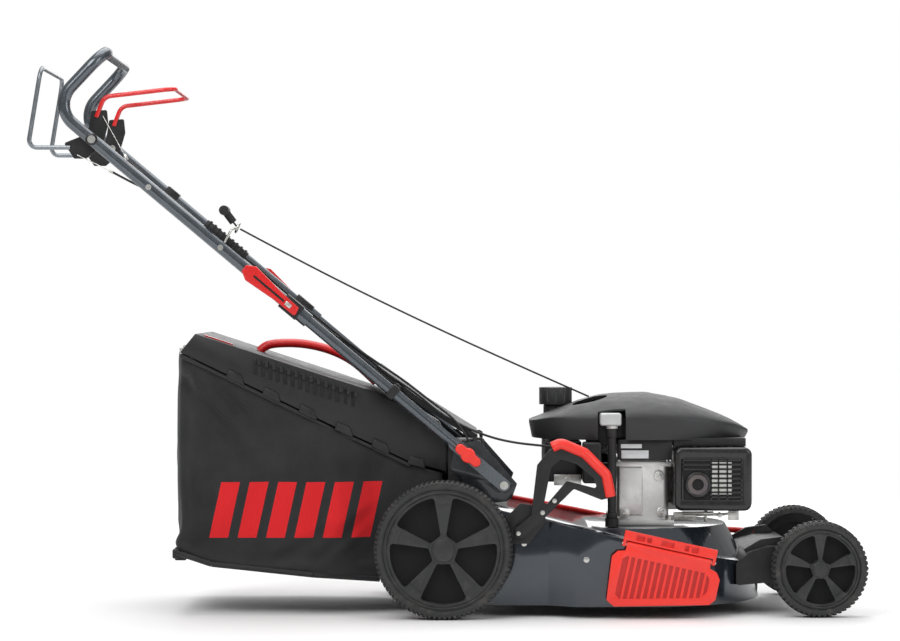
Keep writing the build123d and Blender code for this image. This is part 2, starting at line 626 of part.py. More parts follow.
def bag_form(inset):
    """The full bag, drawn in by an inset."""
    cx, cz = -320.0, 300.0
    kx = (560.0 - 2 * inset) / 560.0
    kz = (480.0 - 2 * inset) / 480.0
    ky = (400.0 - 2 * inset) / 400.0
    side = shape([((x - cx) * kx + cx, (z - cz) * kz + cz) for x, z in bag_side])
    plan = shape([((x - cx) * kx + cx, y * ky) for x, y in bag_plan])
    return side_plate(side, -220, 220) & upward(plan, 700)


seam_line = [(bag_front, 292), (-93, 312), (-544, 530), (-620, 560)]
seam = seam_line + [(-620, 800), (60, 800), (60, 292)]
bag = bag_form(0) - bag_form(4)
bag -= block(-40, 10, -148, 148, 196, 286)
above_seam = side_plate(shape(seam), -300, 300)
nodes["bag_top"] = (bag & above_seam).solids().sort_by(SortBy.VOLUME)[-1]
below = [(x, z - gap) for x, z in seam_line] + [(-620, 0), (60, 0), (60, 292 - gap)]
fabric = bag & side_plate(shape(below), -300, 300)
nodes["bag_fabric"] = fabric.solids().sort_by(SortBy.VOLUME)[-1]
handle_side = [
    (-417, 542), (-404, 558), (-380, 562), (-290, 559), (-215, 528), (-163, 476), (-168, 464), (-186, 470),
    (-226, 508), (-296, 538), (-378, 543), (-398, 536),
]
bag_handle = side_plate(shape(handle_side, 3), -14, 14)
nodes["bag_handle"] = (bag_handle - bag_form(-0.2)).solids().sort_by(SortBy.VOLUME)[-1]

# ---- write, with the origin on the floor under the middle of the whole mower ----
ends = [part.bounding_box() for part in nodes.values()]
shift_x = -(min(box.min.X for box in ends) + max(box.max.X for box in ends)) / 2

if __name__ == "__main__":
    os.makedirs("parts", exist_ok=True)
    for name, part in nodes.items():
        export_step(Pos(shift_x, 0, 0) * part, f"parts/{name}.step")
    print(len(nodes), "nodes")
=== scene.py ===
import bpy
import json
import math
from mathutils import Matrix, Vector, noise


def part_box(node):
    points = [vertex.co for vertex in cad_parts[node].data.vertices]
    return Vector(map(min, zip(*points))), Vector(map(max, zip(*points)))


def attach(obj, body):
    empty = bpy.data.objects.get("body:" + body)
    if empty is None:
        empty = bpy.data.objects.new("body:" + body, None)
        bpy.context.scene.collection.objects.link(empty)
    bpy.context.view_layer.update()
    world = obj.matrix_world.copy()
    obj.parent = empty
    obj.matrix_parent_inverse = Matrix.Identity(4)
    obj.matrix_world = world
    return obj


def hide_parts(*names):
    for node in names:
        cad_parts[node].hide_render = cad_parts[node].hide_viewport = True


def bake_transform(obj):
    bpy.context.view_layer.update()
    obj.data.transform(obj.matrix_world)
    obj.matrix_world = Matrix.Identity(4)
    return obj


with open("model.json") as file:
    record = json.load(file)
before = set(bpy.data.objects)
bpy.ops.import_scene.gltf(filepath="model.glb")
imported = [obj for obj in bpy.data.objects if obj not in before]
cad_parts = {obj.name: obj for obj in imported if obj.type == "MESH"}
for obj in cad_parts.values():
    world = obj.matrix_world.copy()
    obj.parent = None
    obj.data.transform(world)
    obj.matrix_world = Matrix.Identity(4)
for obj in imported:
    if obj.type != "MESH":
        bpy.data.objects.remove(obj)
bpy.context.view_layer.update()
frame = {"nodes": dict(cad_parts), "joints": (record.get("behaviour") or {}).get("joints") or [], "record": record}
print("stage: frame loaded")

nodes = frame["nodes"]
jointAt = {j["name"]: j for j in frame["joints"]}
rearLow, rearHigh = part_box("rear_tyre_right")
datumX = (rearLow.x + rearHigh.x) / 2 + 0.0235      # the drawing's zero, ahead of the rear hub
foldAt = Vector(jointAt["handle_fold"]["pos_m"])
alongTube = Vector(jointAt["handle_telescope"]["axis"])
aboveTube = Vector((alongTube.z, 0, -alongTube.x))
tubeY = 0.195
bodyOf = {node: body for body, members in frame["record"]["behaviour"]["bodies"].items() for node in members}
smoothBelow = 38
cleanShape = {"merge": 0.00002, "flat": 1.5}
uprightTurn = (math.radians(90), 0, 0)


def at(x, y, z):
    return Vector((x + datumX, y, z))


def onHandle(distance, lift=0.0, y=0.0):
    spot = foldAt + alongTube * distance + aboveTube * lift
    return Vector((spot.x, y, spot.z))


def objectMode():
    bpy.ops.object.mode_set(mode="OBJECT")


def editMesh(select=None, kind=None):
    bpy.ops.object.mode_set(mode="EDIT")
    if kind:
        bpy.ops.mesh.select_mode(type=kind)
    if select:
        bpy.ops.mesh.select_all(action=select)


def faceOutward():
    bpy.ops.mesh.select_all(action="SELECT")
    bpy.ops.mesh.normals_make_consistent(inside=False)
    objectMode()


def deselectAll():
    if bpy.context.object and bpy.context.object.mode != "OBJECT":
        objectMode()
    bpy.ops.object.select_all(action="DESELECT")


def pick(obj):
    deselectAll()
    obj.select_set(True)
    bpy.context.view_layer.objects.active = obj


def settle(obj):
    pick(obj)
    bpy.ops.object.transform_apply(location=True, rotation=True, scale=True)


def applyAll(obj):
    pick(obj)
    for modifier in list(obj.modifiers):
        bpy.ops.object.modifier_apply(modifier=modifier.name)


def softEdges(obj, width, segments=2, angle=30):
    bevel = obj.modifiers.new("edges", "BEVEL")
    bevel.width = width
    bevel.segments = segments
    bevel.limit_method = "ANGLE"
    bevel.angle_limit = math.radians(angle)
    bevel.use_clamp_overlap = True
    applyAll(obj)
    smooth(obj)


def smooth(obj, angle=smoothBelow):
    pick(obj)
    bpy.ops.object.shade_smooth_by_angle(angle=math.radians(angle))


def finishPiece(obj, name, body, material, replaced=()):
    obj.name = name
    obj.data.name = name
    obj.data.materials.clear()
    obj.data.materials.append(material)
    if body:
        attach(obj, body)
    if replaced:
        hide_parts(*replaced)
    return obj


def dressNode(obj, node, material):
    return finishPiece(obj, node + "_form", bodyOf[node], material, (node,))


def block(low, high, bevel=0.001, segments=2):
    deselectAll()
    low, high = Vector(low), Vector(high)
    bpy.ops.mesh.primitive_cube_add(size=1, location=(low + high) / 2)
    obj = bpy.context.object
    obj.scale = high - low
    settle(obj)
    if bevel:
        softEdges(obj, bevel, segments)
    return obj


def turnedBlock(centre, size, turnY, bevel):
    deselectAll()
    bpy.ops.mesh.primitive_cube_add(size=1, location=centre, rotation=(0, turnY, 0))
    obj = bpy.context.object
    obj.scale = size
    settle(obj)
    softEdges(obj, bevel)
    return obj


def rod(a, b, radius, sides=24, bevel=0.0006):
    deselectAll()
    a, b = Vector(a), Vector(b)
    turn = (b - a).to_track_quat("Z", "Y").to_euler()
    bpy.ops.mesh.primitive_cylinder_add(vertices=sides, radius=radius, depth=(b - a).length,
                                        location=(a + b) / 2, rotation=turn)
    obj = bpy.context.object
    settle(obj)
    if bevel:
        softEdges(obj, bevel, 2, 50)
    return obj


def torus(spot, radius, thick, around, across):
    deselectAll()
    bpy.ops.mesh.primitive_torus_add(major_radius=radius, minor_radius=thick, major_segments=around,
                                     minor_segments=across, location=spot, rotation=uprightTurn)
    obj = bpy.context.object
    settle(obj)
    smooth(obj, 60)
    return obj


def joined(pieces):
    deselectAll()
    for piece in pieces:
        piece.select_set(True)
    bpy.context.view_layer.objects.active = pieces[0]
    bpy.ops.object.join()
    return bpy.context.object


def lathe(rings, sides):
    deselectAll()
    bpy.ops.mesh.primitive_circle_add(vertices=sides, radius=rings[0][0], location=(0, 0, rings[0][1]))
    obj = bpy.context.object
    settle(obj)
    editMesh("SELECT", "VERT")
    for (r0, z0), (r1, z1) in zip(rings, rings[1:]):
        bpy.ops.mesh.extrude_edges_move(TRANSFORM_OT_translate={"value": (0, 0, z1 - z0)})
        bpy.ops.transform.resize(value=(r1 / r0, r1 / r0, 1))
    bpy.ops.mesh.select_all(action="DESELECT")
    bpy.ops.mesh.select_non_manifold()
    bpy.ops.mesh.bridge_edge_loops()
    faceOutward()
    return obj


def softCopy(node, width, segments):
    source = nodes[node]
    obj = bpy.data.objects.new("soft", source.data.copy())
    bpy.context.scene.collection.objects.link(obj)
    pick(obj)
    editMesh("SELECT")
    bpy.ops.mesh.remove_doubles(threshold=cleanShape["merge"])
    bpy.ops.mesh.customdata_custom_splitnormals_clear()
    bpy.ops.mesh.dissolve_limited(angle_limit=math.radians(cleanShape["flat"]))
    objectMode()
    softEdges(obj, width, segments)
    return obj


def newGroup(name, inputs, outputs):
    tree = bpy.data.node_groups.new(name, "ShaderNodeTree")
    for label, value in inputs.items():
        kind = "NodeSocketColor" if isinstance(value, tuple) else "NodeSocketFloat"
        tree.interface.new_socket(name=label, in_out="INPUT", socket_type=kind).default_value = value
    for label in outputs:
        kind = "NodeSocketColor" if label == "Color" else "NodeSocketFloat"
        tree.interface.new_socket(name=label, in_out="OUTPUT", socket_type=kind)
    return tree, tree.nodes.new("NodeGroupInput"), tree.nodes.new("NodeGroupOutput")


def feed(tree, node, values):
    for label, value in values.items():
        if isinstance(value, (int, float)):
            node.inputs[label].default_value = value
        elif isinstance(value, tuple):
            node.inputs[label].default_value = (*value, 1)
        else:
            tree.links.new(value, node.inputs[label])


def splitAxes(tree, vector):
    node = tree.nodes.new("ShaderNodeSeparateXYZ")
    feed(tree, node, {0: vector})
    return node.outputs


def objectSpace(tree):
    return tree.nodes.new("ShaderNodeTexCoord").outputs["Object"]


def mathNode(tree, operation, a, b=None, clamp=False):
    node = tree.nodes.new("ShaderNodeMath")
    node.operation = operation
    node.use_clamp = clamp
    feed(tree, node, {0: a} if b is None else {0: a, 1: b})
    return node.outputs[0]


def noiseNode(tree, vector, scale, detail=3.0, rough=0.55):
    node = tree.nodes.new("ShaderNodeTexNoise")
    feed(tree, node, {"Vector": vector, "Scale": scale, "Detail": detail, "Roughness": rough})
    return node.outputs["Fac"]


def mixColor(tree, factor, a, b):
    node = tree.nodes.new("ShaderNodeMix")
    node.data_type = "RGBA"
    first, second = [n for n, socket in enumerate(node.inputs) if socket.type == "RGBA"]
    feed(tree, node, {0: factor, first: a, second: b})
    return next(s for s in node.outputs if s.type == "RGBA")


def rangeNode(tree, value, low, high, toLow=0.0, toHigh=1.0):
    node = tree.nodes.new("ShaderNodeMapRange")
    feed(tree, node, {"Value": value, "From Min": low, "From Max": high, "To Min": toLow, "To Max": toHigh})
    return node.outputs["Result"]


wearLook = {"broad": 9.0, "cloud": 45.0, "dustTop": 0.42, "sideDust": 0.35, "specks": (0.5, 0.78)}


def buildWear():
    tree, into, out = newGroup("surfaceWear", {
        "Base": (0.5, 0.5, 0.5, 1), "Shade": (0.4, 0.4, 0.4, 1), "Dust": (0.42, 0.38, 0.31, 1),
        "Dust Amount": 0.1, "Grain Scale": 900.0, "Rough Low": 0.3, "Rough High": 0.5},
        ("Color", "Roughness", "Height"))
    place = objectSpace(tree)
    broad = noiseNode(tree, place, wearLook["broad"], 4.0)
    cloud = noiseNode(tree, place, wearLook["cloud"], 5.0, 0.65)
    grain = noiseNode(tree, place, into.outputs["Grain Scale"], 2.0)
    tone = mathNode(tree, "MULTIPLY", broad, cloud)
    color = mixColor(tree, rangeNode(tree, tone, 0.12, 0.42), into.outputs["Base"], into.outputs["Shade"])
    lowDown = rangeNode(tree, splitAxes(tree, place)["Z"], wearLook["dustTop"], 0.0)
    facing = splitAxes(tree, tree.nodes.new("ShaderNodeNewGeometry").outputs["Normal"])
    upFace = rangeNode(tree, facing["Z"], 0.2, 1.0, wearLook["sideDust"], 1.0)
    specks = rangeNode(tree, cloud, *wearLook["specks"])
    dust = mathNode(tree, "MULTIPLY", mathNode(tree, "MULTIPLY", specks, lowDown), upFace)
    dust = mathNode(tree, "MULTIPLY", dust, into.outputs["Dust Amount"], clamp=True)
    color = mixColor(tree, dust, color, into.outputs["Dust"])
    tree.links.new(color, out.inputs["Color"])
    rough = rangeNode(tree, cloud, 0.3, 0.7, into.outputs["Rough Low"], into.outputs["Rough High"])
    rough = mathNode(tree, "ADD", rough, mathNode(tree, "MULTIPLY", dust, 0.5), clamp=True)
    tree.links.new(rough, out.inputs["Roughness"])
    tree.links.new(grain, out.inputs["Height"])
    return tree


def buildWeave():
    tree, into, out = newGroup("clothWeave", {
        "Scale": 1500.0, "Light": (0.1, 0.1, 0.1, 1), "Dark": (0.02, 0.02, 0.02, 1)},
        ("Color", "Height", "Fade"))
    place = objectSpace(tree)
    axes = splitAxes(tree, place)
    across = mathNode(tree, "ADD", axes["X"], axes["Y"])
    warp = mathNode(tree, "SINE", mathNode(tree, "MULTIPLY", across, into.outputs["Scale"]))
    weft = mathNode(tree, "SINE", mathNode(tree, "MULTIPLY", axes["Z"], into.outputs["Scale"]))
    over = mathNode(tree, "MULTIPLY", warp, weft)
    height = rangeNode(tree, over, -1.0, 1.0)
    tree.links.new(mixColor(tree, height, into.outputs["Dark"], into.outputs["Light"]), out.inputs["Color"])
    tree.links.new(height, out.inputs["Height"])
    tree.links.new(noiseNode(tree, place, 14.0, 5.0), out.inputs["Fade"])
    return tree


wearGroup = buildWear()
weaveGroup = buildWeave()


def newMaterial(name):
    material = bpy.data.materials.new(name)
    material.use_nodes = True
    return material, material.node_tree, material.node_tree.nodes["Principled BSDF"]


def addRelief(tree, shader, height, strength, distance):
    relief = tree.nodes.new("ShaderNodeBump")
    feed(tree, relief, {"Strength": strength, "Distance": distance, "Height": height})
    feed(tree, shader, {"Normal": relief.outputs["Normal"]})


# light specks for the metallic flakes in the paint: painted glints
flakeGlintLook = {"scale": 1400.0, "reach": 0.32, "color": (0.55, 0.6, 0.66)}


def makeFinish(name, base, shade, rough, metallic=0.0, coat=0.0, grain=900.0, bump=0.0002, dust=0.12,
               flakeGlint=0.0, streak=None, specular=0.5):
    material, tree, shader = newMaterial(name)
    wear = tree.nodes.new("ShaderNodeGroup")
    wear.node_tree = wearGroup
    feed(tree, wear, {"Base": base, "Shade": shade, "Dust Amount": dust, "Grain Scale": grain,
                      "Rough Low": rough[0], "Rough High": rough[1]})
    color = wear.outputs["Color"]
    place = objectSpace(tree)
    if flakeGlint:                                   # metallic flakes in the paint, their sparkle drawn as light specks in the colour: painted glints
        cells = tree.nodes.new("ShaderNodeTexVoronoi")
        feed(tree, cells, {"Scale": flakeGlintLook["scale"], "Vector": place})
        glintMask = rangeNode(tree, cells.outputs["Distance"], 0.0, flakeGlintLook["reach"], flakeGlint, 0.0)
        color = mixColor(tree, glintMask, color, flakeGlintLook["color"])
    height = wear.outputs["Height"]
    if streak:                                  # turned or drawn marks, stretched along one axis
        mapping = tree.nodes.new("ShaderNodeMapping")
        mapping.inputs["Scale"].default_value = streak
        tree.links.new(place, mapping.inputs["Vector"])
        height = noiseNode(tree, mapping.outputs["Vector"], 300.0, 2.0)
    addRelief(tree, shader, height, 0.6, bump)
    feed(tree, shader, {"Base Color": color, "Roughness": wear.outputs["Roughness"], "Metallic": metallic,
                        "Coat Weight": coat, "Coat Roughness": 0.08, "Specular IOR Level": specular})
    return material


def makeCloth(name, light, dark, printed):
    material, tree, shader = newMaterial(name)
    weave = tree.nodes.new("ShaderNodeGroup")
    weave.node_tree = weaveGroup
    feed(tree, weave, {"Light": light, "Dark": dark})
    faded = rangeNode(tree, weave.outputs["Fade"], 0.35, 0.75, 0.0, 0.35)
    color = mixColor(tree, faded, weave.outputs["Color"], tuple(c * 1.7 for c in light))
    axes = splitAxes(tree, objectSpace(tree))    # the print is a row of plain slanted bars
    slant = mathNode(tree, "ADD", axes["X"], mathNode(tree, "MULTIPLY", axes["Z"], printed["slant"]))
    start = printed["start"] + printed["low"] * printed["slant"]
    cell = mathNode(tree, "DIVIDE", mathNode(tree, "SUBTRACT", slant, start), printed["pitch"])
    bar = mathNode(tree, "LESS_THAN", mathNode(tree, "FRACT", cell), printed["fill"])
    edges = ((cell, 0.0, float(printed["count"])), (axes["Z"], printed["low"], printed["high"]))
    for value, low, high in edges:
        for test, limit in (("GREATER_THAN", low), ("LESS_THAN", high)):
            bar = mathNode(tree, "MULTIPLY", bar, mathNode(tree, test, value, limit))
    bar = mathNode(tree, "MULTIPLY", bar, rangeNode(tree, weave.outputs["Height"], 0.0, 0.5, 0.82, 1.0))
    color = mixColor(tree, bar, color, printed["color"])
    addRelief(tree, shader, weave.outputs["Height"], 0.5, 0.0004)
    feed(tree, shader, {"Base Color": color, "Roughness": 0.82, "Sheen Weight": 0.12,
                        "Specular IOR Level": 0.25})
    return material


deckPaint = makeFinish("deckPaint", (0.018, 0.025, 0.034), (0.025, 0.033, 0.044), (0.12, 0.22), 0.55, 1.0,
                       flakeGlint=0.14, bump=0.00003, dust=0.05)
tubePaint = makeFinish("tubePaint", (0.075, 0.088, 0.102), (0.095, 0.11, 0.125), (0.2, 0.32), 0.75, 0.6,
                       flakeGlint=0.18, bump=0.00004, dust=0.03)
framePaint = makeFinish("framePaint", (0.03, 0.034, 0.038), (0.042, 0.046, 0.05), (0.25, 0.4), 0.5, 0.5,
                        bump=0.00006, dust=0.2)
blackPlastic = makeFinish("blackPlastic", (0.011, 0.011, 0.012), (0.017, 0.017, 0.018), (0.36, 0.52),
                          grain=1500.0, bump=0.00018, dust=0.06, specular=0.35)
coverPlastic = makeFinish("coverPlastic", (0.016, 0.0165, 0.018), (0.023, 0.0235, 0.025), (0.42, 0.58),
                          grain=1100.0, bump=0.0003, dust=0.05)
guardEnamel = makeFinish("guardEnamel", (0.008, 0.008, 0.008), (0.013, 0.013, 0.013), (0.22, 0.4), 0.2, 0.3,
                         bump=0.0001, dust=0.08)
rimPlastic = makeFinish("rimPlastic", (0.016, 0.0165, 0.0175), (0.022, 0.0225, 0.024), (0.38, 0.52),
                        grain=1300.0, bump=0.00015, dust=0.2)
tyreRubber = makeFinish("tyreRubber", (0.017, 0.0175, 0.0185), (0.027, 0.027, 0.028), (0.6, 0.8),
                        grain=700.0, bump=0.0003, dust=0.45)
redPlastic = makeFinish("redPlastic", (0.83, 0.035, 0.022), (0.72, 0.026, 0.017), (0.3, 0.42), grain=1300.0,
                        bump=0.0001, dust=0.08)
deepRed = makeFinish("deepRed", (0.62, 0.012, 0.012), (0.52, 0.009, 0.009), (0.24, 0.36), grain=1200.0,
                     bump=0.00008, dust=0.02)
redCoat = makeFinish("redCoat", (0.66, 0.008, 0.008), (0.56, 0.006, 0.006), (0.22, 0.34), 0.0, 0.4,
                     bump=0.00004, dust=0.0)
greyCoat = makeFinish("greyCoat", (0.17, 0.19, 0.21), (0.22, 0.24, 0.26), (0.24, 0.36), 0.7, 0.4,
                      bump=0.00004, dust=0.0)
castAlloy = makeFinish("castAlloy", (0.74, 0.74, 0.73), (0.60, 0.60, 0.59), (0.34, 0.50), 0.95, grain=420.0,
                       bump=0.0004, dust=0.10)
turnedSteel = makeFinish("turnedSteel", (0.42, 0.42, 0.42), (0.32, 0.32, 0.32), (0.24, 0.4), 1.0,
                         streak=(1, 1, 30), bump=0.0001, dust=0.05)
zincPlate = makeFinish("zincPlate", (0.6, 0.6, 0.58), (0.5, 0.5, 0.46), (0.25, 0.42), 1.0, bump=0.00005,
                       dust=0.05)
heatedSteel = makeFinish("heatedSteel", (0.2, 0.17, 0.15), (0.11, 0.10, 0.12), (0.3, 0.55), 0.95,
                         bump=0.0002, dust=0.05)
bladeSteel = makeFinish("bladeSteel", (0.03, 0.03, 0.03), (0.09, 0.09, 0.09), (0.35, 0.6), 0.6, bump=0.0002,
                        dust=0.5)
beltRubber = makeFinish("beltRubber", (0.02, 0.02, 0.02), (0.03, 0.03, 0.03), (0.6, 0.75), bump=0.0002)
sheathPlastic = makeFinish("sheathPlastic", (0.008, 0.008, 0.008), (0.012, 0.012, 0.012), (0.28, 0.42),
                           bump=0.00005, dust=0.02)
plateBlack = makeFinish("plateBlack", (0.012, 0.012, 0.013), (0.018, 0.018, 0.018), (0.3, 0.45), 0.3, 0.2,
                        bump=0.00006, dust=0.0)
paleLabel = makeFinish("paleLabel", (0.55, 0.56, 0.57), (0.5, 0.51, 0.52), (0.3, 0.42), 0.35, bump=0.00003,
                       dust=0.0)
# near-black put in slots, grooves and behind the grille: painted shade
paintedShadowBlack = makeFinish("paintedShadowBlack", (0.002, 0.002, 0.002), (0.003, 0.003, 0.003), (0.7, 0.9), bump=0.0001,
                      dust=0.0)
ropeFibre = makeFinish("ropeFibre", (0.012, 0.012, 0.012), (0.03, 0.03, 0.03), (0.7, 0.85), grain=2200.0,
                       bump=0.0006, dust=0.0)
dipGrey = makeFinish("dipGrey", (0.52, 0.53, 0.53), (0.46, 0.47, 0.47), (0.28, 0.4), 0.3, bump=0.00006,
                     dust=0.0)
# near-black for the rim pockets between the spokes: painted shade
paintedPocketShade = makeFinish("paintedPocketShade", (0.003, 0.003, 0.0033), (0.005, 0.005, 0.0055), (0.6, 0.75),
                         dust=0.02, specular=0.25)
# a darker red for the floor between the side flap's ribs: painted shade
recessShadeRed = makeFinish("recessShadeRed", (0.50, 0.014, 0.010), (0.42, 0.010, 0.008), (0.4, 0.5), grain=1300.0,
                       bump=0.0001, dust=0.05)
seeThrough = makeFinish("windowRed", (0.45, 0.012, 0.015), (0.3, 0.008, 0.01), (0.12, 0.2), 0.0, 0.6,
                        bump=0.00003, dust=0.0)
print("stage: materials made")


def blackPiece(obj, name, body):
    finishPiece(obj, name, body, blackPlastic)


def zincPiece(obj, name, body):
    finishPiece(obj, name, body, zincPlate)


carried = {
    "crankshaft": turnedSteel, "drive_shaft": turnedSteel, "gearbox_pulley": turnedSteel,
    "blade_adapter": turnedSteel,
    "gearbox": castAlloy, "flywheel": castAlloy, "blade": bladeSteel, "blade_bolt": zincPlate,
    "chassis_bolts": zincPlate, "handle_bolts": zincPlate, "rope_guide": zincPlate, "drive_belt": beltRubber,
    "muffler": heatedSteel, "oil_fill_tube": blackPlastic, "front_axle_frame": framePaint,
    "rear_axle_frame": framePaint, "drive_bail": greyCoat, "brake_bail": redCoat, "upper_handle": tubePaint,
    "lower_handle": tubePaint, "spark_plug": blackPlastic,
}
for name, material in carried.items():
    nodes[name].data.materials.clear()
    nodes[name].data.materials.append(material)

softened = {
    "front_apron": (blackPlastic, 0.003, 3), "rear_housing": (blackPlastic, 0.002, 2),
    "handle_brackets": (framePaint, 0.0009, 2), "height_quadrant": (blackPlastic, 0.0012, 2),
    "fuel_tank": (blackPlastic, 0.004, 3), "air_intake": (blackPlastic, 0.002, 2),
    "rear_flap": (blackPlastic, 0.0015, 2), "clamp_saddles": (blackPlastic, 0.0015, 2),
    "height_lever": (blackPlastic, 0.0022, 3), "drive_bail_plates": (plateBlack, 0.0005, 1),
    "brake_bail_plates": (plateBlack, 0.0005, 1), "side_flap_bracket": (redPlastic, 0.001, 2),
    "side_flap": (redPlastic, 0.0008, 2), "muffler_guard": (guardEnamel, 0.0012, 2),
    "crankcase": (castAlloy, 0.0012, 2), "dipstick": (dipGrey, 0.0008, 2),
    "fuel_cap": (coverPlastic, 0.0016, 2), "wing_knob_right": (redPlastic, 0.0015, 2),
    "wing_knob_left": (redPlastic, 0.0015, 2), "quick_release_right": (deepRed, 0.0018, 2),
    "quick_release_left": (deepRed, 0.0018, 2), "starter_grip": (blackPlastic, 0.003, 3),
    "height_grip": (redPlastic, 0.002, 2), "deck_shell": (deckPaint, 0.004, 3),
    "bag_top": (blackPlastic, 0.003, 2),
}
# depths and facings that pick the recess faces coloured dark as painted shade
paintedShadeLimits = {"panel": 0.0015, "pocket": 0.016, "facing": 0.8}
for node, (material, width, segments) in softened.items():
    obj = softCopy(node, width, segments)
    dressNode(obj, node, material)
    if node == "side_flap":                      # painted shade: the panel between the ribs is coloured a darker red
        obj.data.materials.append(recessShadeRed)
        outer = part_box(node)[0].y
        for face in obj.data.polygons:
            if face.center.y - outer > paintedShadeLimits["panel"] and face.normal.y < -paintedShadeLimits["facing"]:
                face.material_index = 1
print("stage: CAD nodes dressed")

# wheels: knobbly tyres over the moulded rims
tyreShape = {"lug": 0.0028, "shoulder": 0.006, "rows": 4, "rearSides": 336, "frontSides": 216,
             "rearBead": 0.1212, "frontBead": 0.0802}


def makeTyre(node, sides, bead):
    low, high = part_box(node)
    half = (high.y - low.y) / 2
    tread = (high.z - low.z) / 2 - tyreShape["lug"]
    edge = half - tyreShape["shoulder"]
    side = [(bead, half - 0.004), (bead + 0.003, half - 0.0012), (tread - 0.012, half - 0.0006),
            (tread - 0.010, half), (tread - 0.004, half - 0.0008)]
    rows = tyreShape["rows"]
    crown = [(tread, edge - 2 * edge * row / rows) for row in range(rows + 1)]
    rings = side + crown + [(r, -z) for r, z in reversed(side)]
    obj = lathe(rings, sides)
    editMesh("DESELECT", "FACE")
    objectMode()
    for face in obj.data.polygons:              # staggered lugs, with grooves between
        middle = face.center
        out = math.hypot(middle.x, middle.y)
        sector = int((math.atan2(middle.y, middle.x) / math.tau + 1) * sides)
        row = min(rows - 1, max(0, int((middle.z + edge) / (2 * edge) * rows)))
        onTread = out > tread - 0.0045
        face.select = onTread and (sector + (row in (1, 2))) % 4 < 2
    editMesh(kind="FACE")
    bpy.ops.mesh.extrude_region_shrink_fatten(TRANSFORM_OT_shrink_fatten={"value": tyreShape["lug"]})
    faceOutward()
    obj.location = (low + high) / 2
    obj.rotation_euler = uprightTurn
    settle(obj)
    smooth(obj, 25)
    return dressNode(obj, node, tyreRubber)


def ringBead(node, radius, thick):
    low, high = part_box(node)
    outer = low.y if low.y + high.y < 0 else high.y
    spot = ((low.x + high.x) / 2, outer * 0.9985, (low.z + high.z) / 2)
    return torus(spot, radius, thick, 96, 10)


for hand in ("right", "left"):
    makeTyre("rear_tyre_" + hand, tyreShape["rearSides"], tyreShape["rearBead"])
    makeTyre("front_tyre_" + hand, tyreShape["frontSides"], tyreShape["frontBead"])
    for end, lip, hub in (("rear", 0.1165, 0.020), ("front", 0.0765, 0.0138)):
        node = f"{end}_rim_{hand}"
        rim = dressNode(softCopy(node, 0.0014, 2), node, rimPlastic)
        rim.data.materials.append(paintedPocketShade)
        low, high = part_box(node)
        outer = max(abs(low.y), abs(high.y))
        for face in rim.data.polygons:           # painted shade: the pockets between the spokes are coloured near-black
            depth = outer - abs(face.center.y)
            if depth > paintedShadeLimits["pocket"] and abs(face.normal.y) > paintedShadeLimits["facing"]:
                face.material_index = 1
        beads = joined([ringBead(node, lip, 0.0016), ringBead(node, hub, 0.0011)])
        finishPiece(beads, f"{end}_rim_beads_{hand}", bodyOf[node], rimPlastic)
print("stage: wheels")

# engine cover: a domed moulding over a straight skirt, drooping to the front
coverShape = {"centre": 0.386, "half": 0.230, "halfWidth": 0.164, "square": 2.5, "wall": 0.003, "sides": 96,
              "skirt": 0.356, "scales": (1.0, 0.992, 0.965, 0.91, 0.83, 0.72, 0.58, 0.42, 0.26, 0.12)}
ropeSlot = {"spot": (0.281, -0.052, 0.43), "tilt": 22, "scale": (0.036, 0.034, 1)}
capHole = {"ends": ((0.215, 0.085, 0.385), (0.215, 0.085, 0.5)), "radius": 0.0375}
fillerNotch = ((0.2935, -0.20, 0.34), (0.3505, -0.146, 0.42))
ridgeLine = ((0.156, 0.395), (0.200, 0.416), (0.262, 0.440), (0.310, 0.4485), (0.400, 0.450), (0.470, 0.440),
             (0.560, 0.412), (0.600, 0.392), (0.616, 0.380))
creaseLine = ((0.156, 0.392), (0.200, 0.401), (0.400, 0.402), (0.500, 0.398), (0.580, 0.386), (0.616, 0.372))


def along(line, x):
    for (x0, z0), (x1, z1) in zip(line, line[1:]):
        if x <= x1:
            t = max(0.0, (x - x0) / (x1 - x0))
            return z0 + (z1 - z0) * t
    return line[-1][1]


def coverRing(scale):
    spots = []
    n = coverShape["square"]
    for step in range(coverShape["sides"]):
        a = math.tau * step / coverShape["sides"]
        c, s = math.cos(a), math.sin(a)
        x = coverShape["centre"] + scale * coverShape["half"] * math.copysign(abs(c) ** (2 / n), c)
        pinch = 1.0 - 0.10 * max(0.0, (x - 0.45) / 0.166) ** 2
        y = scale * pinch * coverShape["halfWidth"] * math.copysign(abs(s) ** (2 / n), s)
        crown = max(0.0, 1 - scale ** 2.2) ** 0.62
        z = along(creaseLine, x) + (along(ridgeLine, x) - along(creaseLine, x)) * crown
        spots.append((x, y, z))
    return spots


def loftRings(rings):
    deselectAll()
    bpy.ops.mesh.primitive_circle_add(vertices=len(rings[0]), radius=1)
    obj = bpy.context.object
    editMesh("SELECT", "VERT")
    for _ in rings[1:]:
        bpy.ops.mesh.extrude_edges_move(TRANSFORM_OT_translate={"value": (0, 0, 1)})
    objectMode()
    levels = {}
    for vertex in obj.data.vertices:
        levels.setdefault(round(vertex.co.z), []).append(vertex)
    for level, ring in enumerate(rings):         # each extruded ring goes to its own outline
        around = sorted(levels[level], key=lambda v: (math.atan2(v.co.y, v.co.x) + 0.001) % math.tau)
        for vertex, spot in zip(around, ring):
            vertex.co = spot
    return obj


def cutWith(obj, cutter):
    boolean = obj.modifiers.new("cut", "BOOLEAN")
    boolean.operation = "DIFFERENCE"
    boolean.solver = "EXACT"
    boolean.object = cutter
    applyAll(obj)
    bpy.data.objects.remove(cutter)


